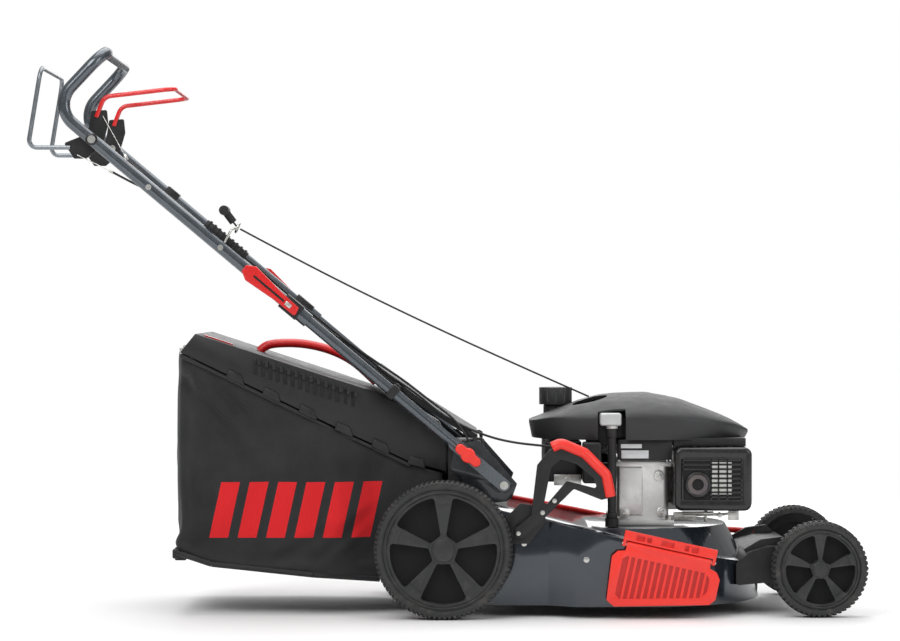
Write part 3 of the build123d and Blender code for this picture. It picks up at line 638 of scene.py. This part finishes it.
centre = coverShape["centre"]
foot = [(centre + (x - centre) * 0.975, y * 0.975, coverShape["skirt"]) for x, y, z in coverRing(1.0)]
rings = [foot, [(x, y, z - 0.006) for x, y, z in coverRing(1.0)]]
rings += [coverRing(scale) for scale in coverShape["scales"]]
cover = loftRings([[at(*p) for p in outline] for outline in rings])
pick(cover)
editMesh("DESELECT")
objectMode()
topHeight = max(v.co.z for v in cover.data.vertices)
for vertex in cover.data.vertices:
    vertex.select = vertex.co.z > topHeight - 0.0008
editMesh(kind="VERT")
bpy.ops.mesh.edge_face_add()
faceOutward()
wall = cover.modifiers.new("wall", "SOLIDIFY")
wall.thickness = coverShape["wall"]
wall.offset = -1
applyAll(cover)
deselectAll()
bpy.ops.mesh.primitive_cylinder_add(vertices=48, radius=1, depth=0.12, location=at(*ropeSlot["spot"]),
                                    rotation=(math.radians(ropeSlot["tilt"]), 0, 0))
slotCut = bpy.context.object
slotCut.scale = ropeSlot["scale"]
settle(slotCut)
cutWith(cover, slotCut)
cutWith(cover, rod(*[at(*spot) for spot in capHole["ends"]], capHole["radius"], 48, 0))
cutWith(cover, block(*[at(*corner) for corner in fillerNotch], bevel=0))
softEdges(cover, 0.0012, 2, 42)
dressNode(cover, "engine_cover", coverPlastic)

slotShadow = rod(at(0.281, -0.030, 0.404), at(0.281, -0.030, 0.424), 0.030, 40, 0.002)    # a near-black disc under the slot: painted shade seen through it
finishPiece(slotShadow, "rope_slot_shadow", "chassis", paintedShadowBlack)
print("stage: engine cover")

# grass bag: woven cloth hung from the moulded top frame, over a bottom rim
bagShape = {"cells": 30, "slack": -0.035, "cap": 0.010, "rear": -0.570, "front": -0.026,
            "seam": ((-0.570, 0.5365), (-0.544, 0.5235), (-0.093, 0.3055), (-0.0175, 0.2855)),
            "foot": ((-0.575, 0.129), (-0.497, 0.104), (-0.290, 0.080), (-0.148, 0.066), (-0.130, 0.085),
                     (-0.100, 0.175), (-0.017, 0.190)),
            "width": ((-0.600, 0.2001), (-0.240, 0.1961), (-0.160, 0.1661), (-0.017, 0.1641)), "steps": 26}


def bagSpot(u, v, w):
    x = bagShape["rear"] + (bagShape["front"] - bagShape["rear"]) * (u + 0.5)
    low, high = along(bagShape["foot"], x) + 0.003, along(bagShape["seam"], x) + 0.001
    z = low + (high - low) * (w + 0.5)
    corner = max(0.0, abs(u) * 2 - 0.9) * 0.18    # the rear and front corners are rounded in plan
    half = along(bagShape["width"], x) - 0.004
    y = 2 * v * half * (1 - corner)
    if u < -0.45:
        x += 0.012 * abs(2 * v) ** 6
    return at(x, y, z)


deselectAll()
bpy.ops.mesh.primitive_cube_add(size=1)
cloth = bpy.context.object
editMesh("SELECT")
bpy.ops.mesh.subdivide(number_cuts=bagShape["cells"])
bpy.ops.mesh.select_all(action="DESELECT")
objectMode()
for face in cloth.data.polygons:                 # open at the top, where the frame is
    face.select = face.normal.z > 0.9 or (face.normal.x > 0.9 and abs(face.center.y) < 0.40
                                          and face.center.z > -0.42)
editMesh(kind="FACE")
bpy.ops.mesh.delete(type="FACE")
objectMode()
for vertex in cloth.data.vertices:
    vertex.co = bagSpot(*vertex.co)
pick(cloth)
editMesh()
faceOutward()
rest = [v.co.copy() for v in cloth.data.vertices]
heldEdge = {"top": 0.010, "foot": 0.012, "front": -0.040}
held = cloth.vertex_groups.new(name="held")
fixed = set()
for vertex in cloth.data.vertices:
    x = vertex.co.x - datumX
    low, high = along(bagShape["foot"], x), along(bagShape["seam"], x)
    if vertex.co.z > high - heldEdge["top"] or vertex.co.z < low + heldEdge["foot"] or x > heldEdge["front"]:
        held.add([vertex.index], 1.0, "REPLACE")
        fixed.add(vertex.index)
drape = cloth.modifiers.new("drape", "CLOTH")
for label, value in {"quality": 6, "mass": 0.25, "tension_stiffness": 20, "compression_stiffness": 12,
                     "bending_stiffness": 0.4, "shrink_min": bagShape["slack"],
                     "vertex_group_mass": "held"}.items():
    setattr(drape.settings, label, value)
drape.collision_settings.use_collision = False
for step in range(1, bagShape["steps"]):
    bpy.context.scene.frame_set(step)
bpy.context.view_layer.update()
applyAll(cloth)
bpy.context.scene.frame_set(1)
for vertex, home in zip(cloth.data.vertices, rest):
    move = vertex.co - home
    if move.length > bagShape["cap"]:
        vertex.co = home + move * (bagShape["cap"] / move.length)
pick(cloth)
editMesh("DESELECT", "VERT")
objectMode()
for vertex in cloth.data.vertices:               # the held edges keep their place
    vertex.select = vertex.index not in fixed
editMesh()
bpy.ops.mesh.vertices_smooth(factor=0.3, repeat=1)
objectMode()
fine = cloth.modifiers.new("fine", "SUBSURF")
fine.levels = fine.render_levels = 1
applyAll(cloth)
folds = ((-0.550, 0.36, 0.26, 0.00, 0.8), (-0.515, 0.43, 0.17, 0.85, 1.0), (-0.460, 0.445, 0.11, 0.70, 0.8),
         (-0.500, 0.25, 0.16, 0.05, 0.5), (-0.330, 0.13, 0.09, -1.6, 0.8), (-0.240, 0.15, 0.10, -1.1, 0.8))
foldShape = {"width": 0.016, "depth": 0.013, "fadeTop": 0.04, "fadeFoot": 0.03, "ripple": 0.6}


def crease(x, z, foldX, foldZ, reach, lean, deep):
    across = ((x - foldX) + (z - foldZ) * lean) / math.hypot(1, lean) / foldShape["width"]
    run = z - foldZ if abs(lean) < 1 else x - foldX
    span = max(0.0, 1 - (run / reach) ** 2)
    return deep * span * (math.exp(-across ** 2) - 0.5 * math.exp(-(across - 1.9) ** 2))


for vertex in cloth.data.vertices:               # folds fan from the rear corner, and lie low down
    x, y, z = vertex.co.x - datumX, vertex.co.y, vertex.co.z
    low, high = along(bagShape["foot"], x), along(bagShape["seam"], x)
    fade = max(0.0, min(1.0, (high - z) / foldShape["fadeTop"]))
    fade *= max(0.0, min(1.0, (z - low) / foldShape["fadeFoot"]))
    dent = sum(crease(x, z, *fold) for fold in folds)
    dent += foldShape["ripple"] * noise.noise(Vector((x * 9 + z * 5, y * 7, z * 6 + 3)))
    if abs(y) > 0.12:
        vertex.co.y -= math.copysign(foldShape["depth"] * dent * fade, y)
    elif x < -0.5:
        vertex.co.x += foldShape["depth"] * dent * fade
thick = cloth.modifiers.new("thickness", "SOLIDIFY")
thick.thickness = 0.0012
applyAll(cloth)
bpy.ops.object.shade_smooth()
printBars = {"start": -0.482, "pitch": 0.058, "fill": 0.66, "count": 6, "low": 0.158, "high": 0.272,
             "slant": -0.22, "color": (0.62, 0.012, 0.016)}
bagCloth = makeCloth("bagCloth", (0.026, 0.026, 0.027), (0.007, 0.007, 0.008), printBars)
finishPiece(cloth, "bag_cloth", "grass_bag", bagCloth, ("bag_fabric",))

# the top frame's clip tabs, vents, seam cord and rear hinge
tabShape = {"count": 6, "first": -0.448, "step": 0.0738, "foot": 0.019, "head": 0.013, "rise": 0.019,
            "proud": 0.0038}


def seamSide(x, side, out=0.0):
    return side * (along(bagShape["width"], x) + out)


trims = []
for side in (-1, 1):
    for n in range(tabShape["count"]):
        x = tabShape["first"] + n * tabShape["step"]
        tab = block((-0.5, -0.5, -0.5), (0.5, 0.5, 0.5), bevel=0)
        for vertex in tab.data.vertices:
            wide = tabShape["foot"] if vertex.co.z < 0 else tabShape["head"]
            px = x + wide * math.copysign(1, vertex.co.x)
            pz = along(bagShape["seam"], px) + (0.001 if vertex.co.z < 0 else tabShape["rise"])
            reach = seamSide(px, side, 0.0005 + (tabShape["proud"] if vertex.co.y * side > 0 else -0.004))
            vertex.co = at(px, reach, pz)
        softEdges(tab, 0.0012, 2)
        trims.append(tab)
blackPiece(joined(trims), "bag_clip_tabs", "grass_bag")

binding = []
for side in (-1, 1):
    spots = [at(x, seamSide(x, side, -0.0015), along(bagShape["seam"], x) - 0.001)
             for x in (-0.560, -0.50, -0.40, -0.30, -0.20, -0.165, -0.13, -0.093)]
    for a, b in zip(spots, spots[1:]):
        binding.append(rod(a, b, 0.0042, 12, 0))
blackPiece(joined(binding), "bag_seam_binding", "grass_bag")

ventShape = {"count": 14, "first": -0.407, "step": 0.01515, "wide": 0.0080, "tall": 0.029, "drop": 0.014,
             "line": ((-0.53, 0.575), (-0.176, 0.458)), "sunk": 0.003, "slot": 0.0008, "rib": 0.0045}


def ventBar(x0, x1, side, y, proud, bottom, top):
    deep, out = sorted((y - side * ventShape["sunk"], y + side * proud))
    return block(at(x0, deep, bottom), at(x1, out, top), bevel=0.0006)


vents, bars = [], []
for side in (-1, 1):
    for n in range(ventShape["count"]):
        x = ventShape["first"] + n * ventShape["step"]
        top = along(ventShape["line"], x) - ventShape["drop"]
        y, half = seamSide(x, side), ventShape["wide"] / 2
        vents.append(ventBar(x - half, x + half, side, y, ventShape["slot"], top - ventShape["tall"], top))
        bars.append(ventBar(x + half, x + ventShape["step"] - half, side, y, ventShape["rib"],
                            top - ventShape["tall"] * 0.3, top + 0.004))
# the vent slots are near-black blocks: painted shade
finishPiece(joined(vents), "bag_vent_shadows", "grass_bag", paintedShadowBlack)
blackPiece(joined(bars), "bag_vent_ribs", "grass_bag")

lip = block(at(-0.577, -0.196, 0.116), at(-0.562, 0.196, 0.135), bevel=0.003, segments=3)
heel = block(at(-0.577, -0.150, 0.108), at(-0.553, 0.150, 0.124), bevel=0.003, segments=3)
blackPiece(joined([lip, heel]), "bag_rear_rim", "grass_bag")
rims = []
for side in (-1, 1):
    line = [(-0.568, 0.122), (-0.497, 0.0985), (-0.290, 0.0765), (-0.155, 0.065)]
    spots = [at(x, seamSide(x, side, -0.004), z + 0.0065) for x, z in line]
    rims += [rod(a, b, 0.0058, 12, 0) for a, b in zip(spots, spots[1:])]
blackPiece(joined(rims), "bag_bottom_rim", "grass_bag")
hinges = []
for side in (-1, 1):
    y = side * 0.186
    hinges.append(rod(at(-0.550, y - 0.012, 0.548), at(-0.550, y + 0.012, 0.548), 0.0055, 20))
    hinges.append(block(at(-0.562, y - 0.009, 0.534), at(-0.544, y + 0.009, 0.548), bevel=0.001))
zincPiece(joined(hinges), "bag_hinges", "grass_bag")
indicator = turnedBlock(at(-0.485, -0.160, 0.5615), (0.062, 0.020, 0.004), math.radians(18.3), 0.0012)
finishPiece(indicator, "bag_fill_window", "grass_bag", seeThrough)
sealShape = {"x": (-0.0178, -0.0120), "y": (0.146, 0.156), "z": (0.296, 0.348)}
seals = []
for side in (-1, 1):
    inner, outer = sorted(side * y for y in sealShape["y"])
    seals.append(block(*[at(x, y, z) for x, y, z in zip(sealShape["x"], (inner, outer), sealShape["z"])]))
blackPiece(joined(seals), "bag_mouth_seal", "grass_bag")
print("stage: bag frame")

# a round bar or cord through a few points, with its centre line
def tubeFromPoints(points, radius, sides=4):
    deselectAll()
    data = bpy.data.curves.new("line", "CURVE")
    data.dimensions = "3D"
    spline = data.splines.new("NURBS")
    spline.points.add(len(points) - 1)
    for place, spot in zip(spline.points, points):
        place.co = (*spot, 1)
    spline.order_u = 3
    spline.use_endpoint_u = True
    spline.resolution_u = 10
    line = bpy.data.objects.new("line", data)
    bpy.context.scene.collection.objects.link(line)
    bpy.context.view_layer.update()
    centre = bpy.data.meshes.new_from_object(line.evaluated_get(bpy.context.evaluated_depsgraph_get()))
    path = [v.co.copy() for v in centre.vertices]
    data.bevel_depth = radius
    data.bevel_resolution = sides
    data.use_fill_caps = True
    pick(line)
    bpy.ops.object.convert(target="MESH")
    tube = bpy.context.object
    smooth(tube, 60)
    return tube, path


def dress(obj, name, material):
    obj.name = name
    obj.data.materials.clear()
    obj.data.materials.append(material)


# starter rope: 3.8 mm braid, drawn taut from the engine cover to its guide
ropeShape = {"radius": 0.0019, "tail": 0.006,
             "route": ((0.281, -0.022, 0.441), (0.100, -0.058, 0.521), (-0.110, -0.099, 0.619),
                       (-0.300, -0.137, 0.7135))}
ropeEnd = Vector((-0.446, -0.166, 0.792))
ropeAim = (ropeEnd - Vector(ropeShape["route"][0])).normalized()
ropeRoute = [at(*p) for p in ropeShape["route"]] + [at(*(ropeEnd - ropeAim * ropeShape["tail"]))]
rope, ropePath = tubeFromPoints(ropeRoute, ropeShape["radius"])
dress(rope, "starter_rope_braid", ropeFibre)
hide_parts("starter_rope")
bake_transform(rope)

# control cables: one length over the fold, one over the telescoping joint
cableShape = {"radius": 0.0025, "wire": 0.0008}
driveY, brakeY = -0.1716, -0.1652
driveRoute = [
    (-0.700, driveY, 0.905), (-0.655, driveY, 0.880), (-0.600, driveY, 0.858), (-0.540, driveY, 0.806),
    (-0.467, driveY, 0.757), (-0.405, driveY, 0.712), (-0.340, driveY, 0.652), (-0.285, driveY, 0.610),
    (-0.225, driveY, 0.561), (-0.165, driveY, 0.519), (-0.105, driveY, 0.480), (-0.050, driveY, 0.436),
    (-0.002, driveY, 0.402), (0.033, driveY, 0.352), (0.038, driveY, 0.300), (0.026, driveY, 0.245),
    (0.012, driveY, 0.200), (0.003, driveY, 0.156), (0.001, -0.152, 0.118), (0.002, -0.110, 0.098),
    (0.004, -0.060, 0.096), (0.004, -0.008, 0.104)]
brakeRoute = [
    (-0.672, brakeY, 0.931), (-0.625, brakeY, 0.884), (-0.562, brakeY, 0.838), (-0.507, brakeY, 0.784),
    (-0.443, brakeY, 0.736), (-0.388, brakeY, 0.683), (-0.322, brakeY, 0.637), (-0.266, brakeY, 0.583),
    (-0.198, brakeY, 0.541), (-0.142, brakeY, 0.493), (-0.082, brakeY, 0.455), (-0.033, brakeY, 0.412),
    (0.018, brakeY, 0.384), (0.072, -0.160, 0.362), (0.124, -0.152, 0.350), (0.180, -0.144, 0.344),
    (0.232, -0.140, 0.338), (0.261, -0.140, 0.330)]
for name, route in (("drive_cable", driveRoute), ("brake_cable", brakeRoute)):
    whole, path = tubeFromPoints([at(*p) for p in route], cableShape["radius"], 3)
    bpy.data.objects.remove(whole)
    middle = min(range(len(path)), key=lambda n: abs(path[n].x - datumX + 0.150))
    upper, _ = tubeFromPoints(path[:middle + 1:3] + [path[middle]], cableShape["radius"], 3)
    lower, _ = tubeFromPoints([path[middle]] + path[middle + 1::3] + [path[-1]], cableShape["radius"], 3)
    dress(upper, name + "_upper", sheathPlastic)
    dress(lower, name + "_lower", sheathPlastic)
    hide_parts(name)
    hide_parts(name)
    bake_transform(upper)
    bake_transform(lower)
for name, bail, start, end in (
        ("drive_wire", "drive_bail", (-0.700, driveY, 0.905), (-0.776, -0.1625, 0.942)),
        ("brake_wire", "brake_bail", (-0.672, brakeY, 0.931), (-0.724, -0.1495, 1.022))):
    wire = rod(at(*start), at(*end), cableShape["wire"], 8, 0)
    dress(wire, name, zincPlate)
    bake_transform(wire)
    tip = Vector(start).lerp(Vector(end), 0.12)
    finishPiece(rod(at(*start), at(*tip), 0.0034, 16), name + "_ferrule", "upper_handle", zincPlate)

# clips and the ribbed duct on the handle
clipShape = {"half": 0.0152, "duct": (0.704, 0.812), "ribs": 9}


def handleBlock(low, high, y, halfY, lift, halfLift, bevel=0.002):
    return turnedBlock(onHandle((low + high) / 2, lift, y), (high - low, 2 * halfY, 2 * halfLift),
                       math.radians(40), bevel)


clip = handleBlock(0.287, 0.305, -tubeY, clipShape["half"] - 0.001, 0, clipShape["half"] - 0.001)
hook = handleBlock(0.289, 0.303, -0.172, 0.0115, 0.012, 0.007)
blackPiece(joined([clip, hook]), "cable_clip", "lower_handle")
farClip = handleBlock(0.924, 0.956, tubeY, clipShape["half"], 0, clipShape["half"])
blackPiece(farClip, "far_tube_clip", "upper_handle")
low, high = clipShape["duct"]
duct = [handleBlock(low, high, -0.1710, 0.0105, 0.017, 0.0095)]
for n in range(clipShape["ribs"]):
    d = low + 0.008 + n * (high - low - 0.016) / (clipShape["ribs"] - 1)
    duct.append(handleBlock(d - 0.002, d + 0.002, -0.1710, 0.0115, 0.0175, 0.0113, 0.0008))
blackPiece(joined(duct), "cable_duct", "upper_handle")
for hand, side in (("right", -1), ("left", 1)):
    face = side * 0.2243
    latch = handleBlock(0.566, 0.580, face, 0.0014, 0, 0.0045, 0.0006)
    zincPiece(latch, "quick_latch_" + hand, "quick_release_" + hand)
    # a near-black strip on the lever: painted shade in its groove
    grooveShadow = handleBlock(0.584, 0.664, face, 0.0005, 0, 0.0022, 0.0004)
    finishPiece(grooveShadow, "quick_groove_shadow_" + hand, "quick_release_" + hand, paintedShadowBlack)
    washer = rod(onHandle(1.097, 0, side * 0.2070), onHandle(1.097, 0, side * 0.2082), 0.0125, 32)
    finishPiece(washer, "bail_washer_" + hand, "upper_handle", plateBlack)
for x, z in ((0.201, 0.238), (0.177, 0.214), (0.128, 0.172)):
    stud = rod(at(x, -0.2492, z), at(x, -0.2520, z), 0.0046, 24)
    finishPiece(stud, f"lever_rivet_{round(x * 1000)}", "height_lever", zincPlate)
print("stage: rope, cables and clips")

# engine furniture
shroud = block(at(0.3345, -0.149, 0.315), at(0.4465, -0.128, 0.357), bevel=0.002)
blackPiece(shroud, "fan_shroud_side", "chassis")
labels = [block(at(0.341, -0.1496, 0.339), at(0.384, -0.1488, 0.3475), bevel=0.0002),
          block(at(0.342, -0.1496, 0.318), at(0.398, -0.1488, 0.3345), bevel=0.0002)]
finishPiece(joined(labels), "blank_labels", "chassis", paleLabel)
front = block(at(0.3385, -0.1232, 0.199), at(0.3870, -0.1190, 0.2985), bevel=0.002, segments=3)
bosses = [front]
heads = []
for x, z in ((0.4215, 0.280), (0.3500, 0.204), (0.4270, 0.206)):
    bosses.append(rod(at(x, -0.118, z), at(x, -0.1275, z), 0.0105, 32, 0.0015))
    heads.append(rod(at(x, -0.1270, z), at(x, -0.1330, z), 0.0056, 6))
finishPiece(joined(bosses), "crankcase_face", "chassis", castAlloy)
zincPiece(joined(heads), "crankcase_screws", "chassis")

grilleShape = {"outlet": (0.497, -0.1805, 0.266), "outletHalf": 0.029, "clear": 0.5225, "face": -0.1796,
               "back": -0.1772, "start": 0.464, "end": 0.588, "bars": 9, "first": 0.2385, "step": 0.0095,
               "bar": 0.0042, "posts": (0.464, 0.5225, 0.5375, 0.5555, 0.585), "post": 0.0034,
               "foot": 0.234, "top": 0.320}
collar = torus(at(*grilleShape["outlet"]), 0.0235, 0.0028, 64, 12)
finishPiece(collar, "exhaust_collar", "chassis", guardEnamel)


def grilleBar(x0, z0, x1, z1, face=grilleShape["face"], bevel=0.0005):
    return block(at(x0, face, z0), at(x1, grilleShape["back"], z1), bevel=bevel)


grille = []
for n in range(grilleShape["bars"]):
    z = grilleShape["first"] + grilleShape["step"] * n
    besideOutlet = abs(z - grilleShape["outlet"][2]) < grilleShape["outletHalf"]
    start = grilleShape["clear"] if besideOutlet else grilleShape["start"]
    grille.append(grilleBar(start, z, grilleShape["end"], z + grilleShape["bar"]))
for x in grilleShape["posts"]:
    grille.append(grilleBar(x, grilleShape["foot"], x + grilleShape["post"], grilleShape["top"]))
for z in (0.232, 0.319):
    grille.append(grilleBar(grilleShape["start"], z, 0.589, z + 0.0032, -0.1799, 0.0008))
finishPiece(joined(grille), "muffler_grille", "chassis", guardEnamel)
# a near-black sheet behind the grille bars: painted shade
grilleShadow = block(at(0.464, -0.1771, 0.234), at(0.588, -0.1766, 0.320), bevel=0)
finishPiece(grilleShadow, "muffler_grille_shadow", "chassis", paintedShadowBlack)
# a bright zinc patch behind the grille bars beside the outlet: painted highlight
grilleHighlight = block(at(0.5225, -0.1774, 0.246), at(0.566, -0.1771, 0.312), bevel=0)
zincPiece(grilleHighlight, "muffler_grille_highlight", "chassis")
panels = [block(at(0.270, -0.128, 0.345), at(0.356, -0.120, 0.400), bevel=0.001),
          block(at(0.450, -0.150, 0.3425), at(0.598, 0.120, 0.360), bevel=0.001)]
blackPiece(joined(panels), "under_cover_panels", "chassis")
links = [rod(at(0.452, -0.104, 0.197), at(0.560, -0.104, 0.200), 0.0028, 16),
         rod(at(0.470, -0.112, 0.203), at(0.535, -0.112, 0.203), 0.0036, 16),
         rod(at(0.548, -0.118, 0.199), at(0.548, -0.096, 0.199), 0.0055, 6),
         rod(at(0.520, -0.100, 0.184), at(0.520, -0.100, 0.212), 0.0032, 16),
         block(at(0.452, -0.110, 0.186), at(0.500, -0.106, 0.205), bevel=0.001),
         block(at(0.566, -0.108, 0.188), at(0.588, -0.104, 0.208), bevel=0.001),
         rod(at(0.556, -0.106, 0.200), at(0.586, -0.106, 0.204), 0.0024, 16)]
zincPiece(joined(links), "control_linkage", "chassis")
springShape = {"start": 0.455, "pitch": 0.0009, "radius": 0.0035, "turn": 0.9, "points": 70}
springRoute = [at(springShape["start"] + springShape["pitch"] * n,
                  -0.118 + springShape["radius"] * math.cos(n * springShape["turn"]),
                  0.192 + springShape["radius"] * math.sin(n * springShape["turn"]))
               for n in range(springShape["points"])]
spring, _ = tubeFromPoints(springRoute, 0.0006, 2)
zincPiece(spring, "governor_spring", "chassis")
bracket = block(at(0.204, -0.139, 0.262), at(0.260, -0.135, 0.284), bevel=0.001)
throttle = rod(at(0.232, -0.144, 0.273), at(0.232, -0.134, 0.273), 0.007, 6)
zincPiece(joined([bracket, throttle]), "throttle_bracket", "chassis")
collars = [rod(at(0.322, -0.160, low), at(0.322, -0.160, high), 0.0118, 32, 0.0015)
           for low, high in ((0.362, 0.379), (0.196, 0.206))]
blackPiece(joined(collars), "filler_collars", "chassis")
print("stage: engine furniture")

# bag handle: a rounded grip bowed over the lid
gripRoute = [at(x, 0, z) for x, z in ((-0.412, 0.536), (-0.402, 0.547), (-0.380, 0.5525), (-0.335, 0.5535),
                                      (-0.293, 0.5475), (-0.255, 0.536), (-0.220, 0.5185), (-0.190, 0.494),
                                      (-0.166, 0.470))]
grip, _ = tubeFromPoints(gripRoute, 0.0092, 6)
for vertex in grip.data.vertices:                # wider than it is thick
    vertex.co.y *= 1.5
dressNode(grip, "bag_handle", deepRed)

# deck trim: a red strip round the far side, and screws
trimRoute = [at(*p) for p in ((0.118, 0.215, 0.2125), (0.200, 0.234, 0.196), (0.320, 0.240, 0.172),
                              (0.430, 0.236, 0.150), (0.500, 0.222, 0.147), (0.560, 0.196, 0.1445),
                              (0.610, 0.168, 0.145), (0.648, 0.150, 0.1425))]
trim, _ = tubeFromPoints(trimRoute, 0.0065, 4)
finishPiece(trim, "deck_trim_left", "chassis", deepRed)
screws = []
for side in (-1, 1):
    for x, z in ((0.140, 0.150), (0.265, 0.120)):
        half = 0.2255 if x < 0.19 else 0.2585
        screws.append(rod(at(x, side * half, z), at(x, side * (half + 0.003), z), 0.006, 24))
zincPiece(joined(screws), "deck_screws", "chassis")
print("stage: deck trim")

# a plain pale floor, soft lamps and the camera
deselectAll()
bpy.ops.mesh.primitive_plane_add(size=1)
ground = bpy.context.object
ground.scale = (15, 10.5, 1)
ground.location = (0, -2.25, 0)
settle(ground)
floorLook = {"color": (0.86, 0.86, 0.86), "rough": 0.75, "glowRange": (2.0, 4.5), "glow": 0.8}
paper, tree, shader = newMaterial("studioPaper")
reach = tree.nodes.new("ShaderNodeVectorMath")
reach.operation = "LENGTH"
feed(tree, reach, {0: objectSpace(tree)})
glow = rangeNode(tree, reach.outputs["Value"], *floorLook["glowRange"], 0.0, floorLook["glow"])
feed(tree, shader, {"Base Color": floorLook["color"], "Roughness": floorLook["rough"],
                    "Emission Color": glow, "Emission Strength": 1.0})    # pale out to its edges
ground.data.materials.append(paper)
ground.name = "ground"

world = bpy.data.worlds.new("studio")
bpy.context.scene.world = world
world.use_nodes = True
sky = world.node_tree
seen = sky.nodes.new("ShaderNodeLightPath").outputs["Is Camera Ray"]
heading = splitAxes(sky, sky.nodes.new("ShaderNodeTexCoord").outputs["Generated"])
skyLook = {"low": -0.05, "high": 0.8, "lowLight": 0.16, "highLight": 0.62}
lighting = rangeNode(sky, heading["Z"], *skyLook.values())
strength = mathNode(sky, "MAXIMUM", seen, lighting)       # a white backdrop that lights the mower less
feed(sky, sky.nodes["Background"], {"Color": (1, 1, 1), "Strength": strength})


def areaLight(name, spot, aim, size, power):
    deselectAll()
    bpy.ops.object.light_add(type="AREA", location=spot)
    light = bpy.context.object
    light.name = name
    light.data.energy = power
    light.data.shape = "RECTANGLE"
    light.data.size = size
    light.data.size_y = size
    light.rotation_euler = (Vector(aim) - Vector(spot)).to_track_quat("-Z", "Y").to_euler()


lamps = {"keySoft": ((-1.8, -3.2, 3.4), (0, 0, 0.4), 2.4, 95),
         "fillSoft": ((3.2, -3.0, 1.9), (0.2, 0, 0.4), 2.0, 45),
         "topSoft": ((0.0, 0.6, 3.6), (0, 0, 0.3), 3.2, 80),
         "rimSoft": ((0.4, 3.6, 2.2), (0, 0, 0.5), 3.0, 45)}
for name, lamp in lamps.items():
    areaLight(name, *lamp)

lens = {"spot": (0.0204, -5.885, 0.648), "length": 111.55, "shiftX": -0.0056, "shiftY": -0.025}
deselectAll()
bpy.ops.object.camera_add(location=lens["spot"], rotation=uprightTurn)
camera = bpy.context.object
camera.data.lens = lens["length"]
camera.data.shift_x = lens["shiftX"]
camera.data.shift_y = lens["shiftY"]
bpy.context.scene.camera = camera
bpy.context.scene.view_settings.view_transform = "Standard"
print("stage: studio set")
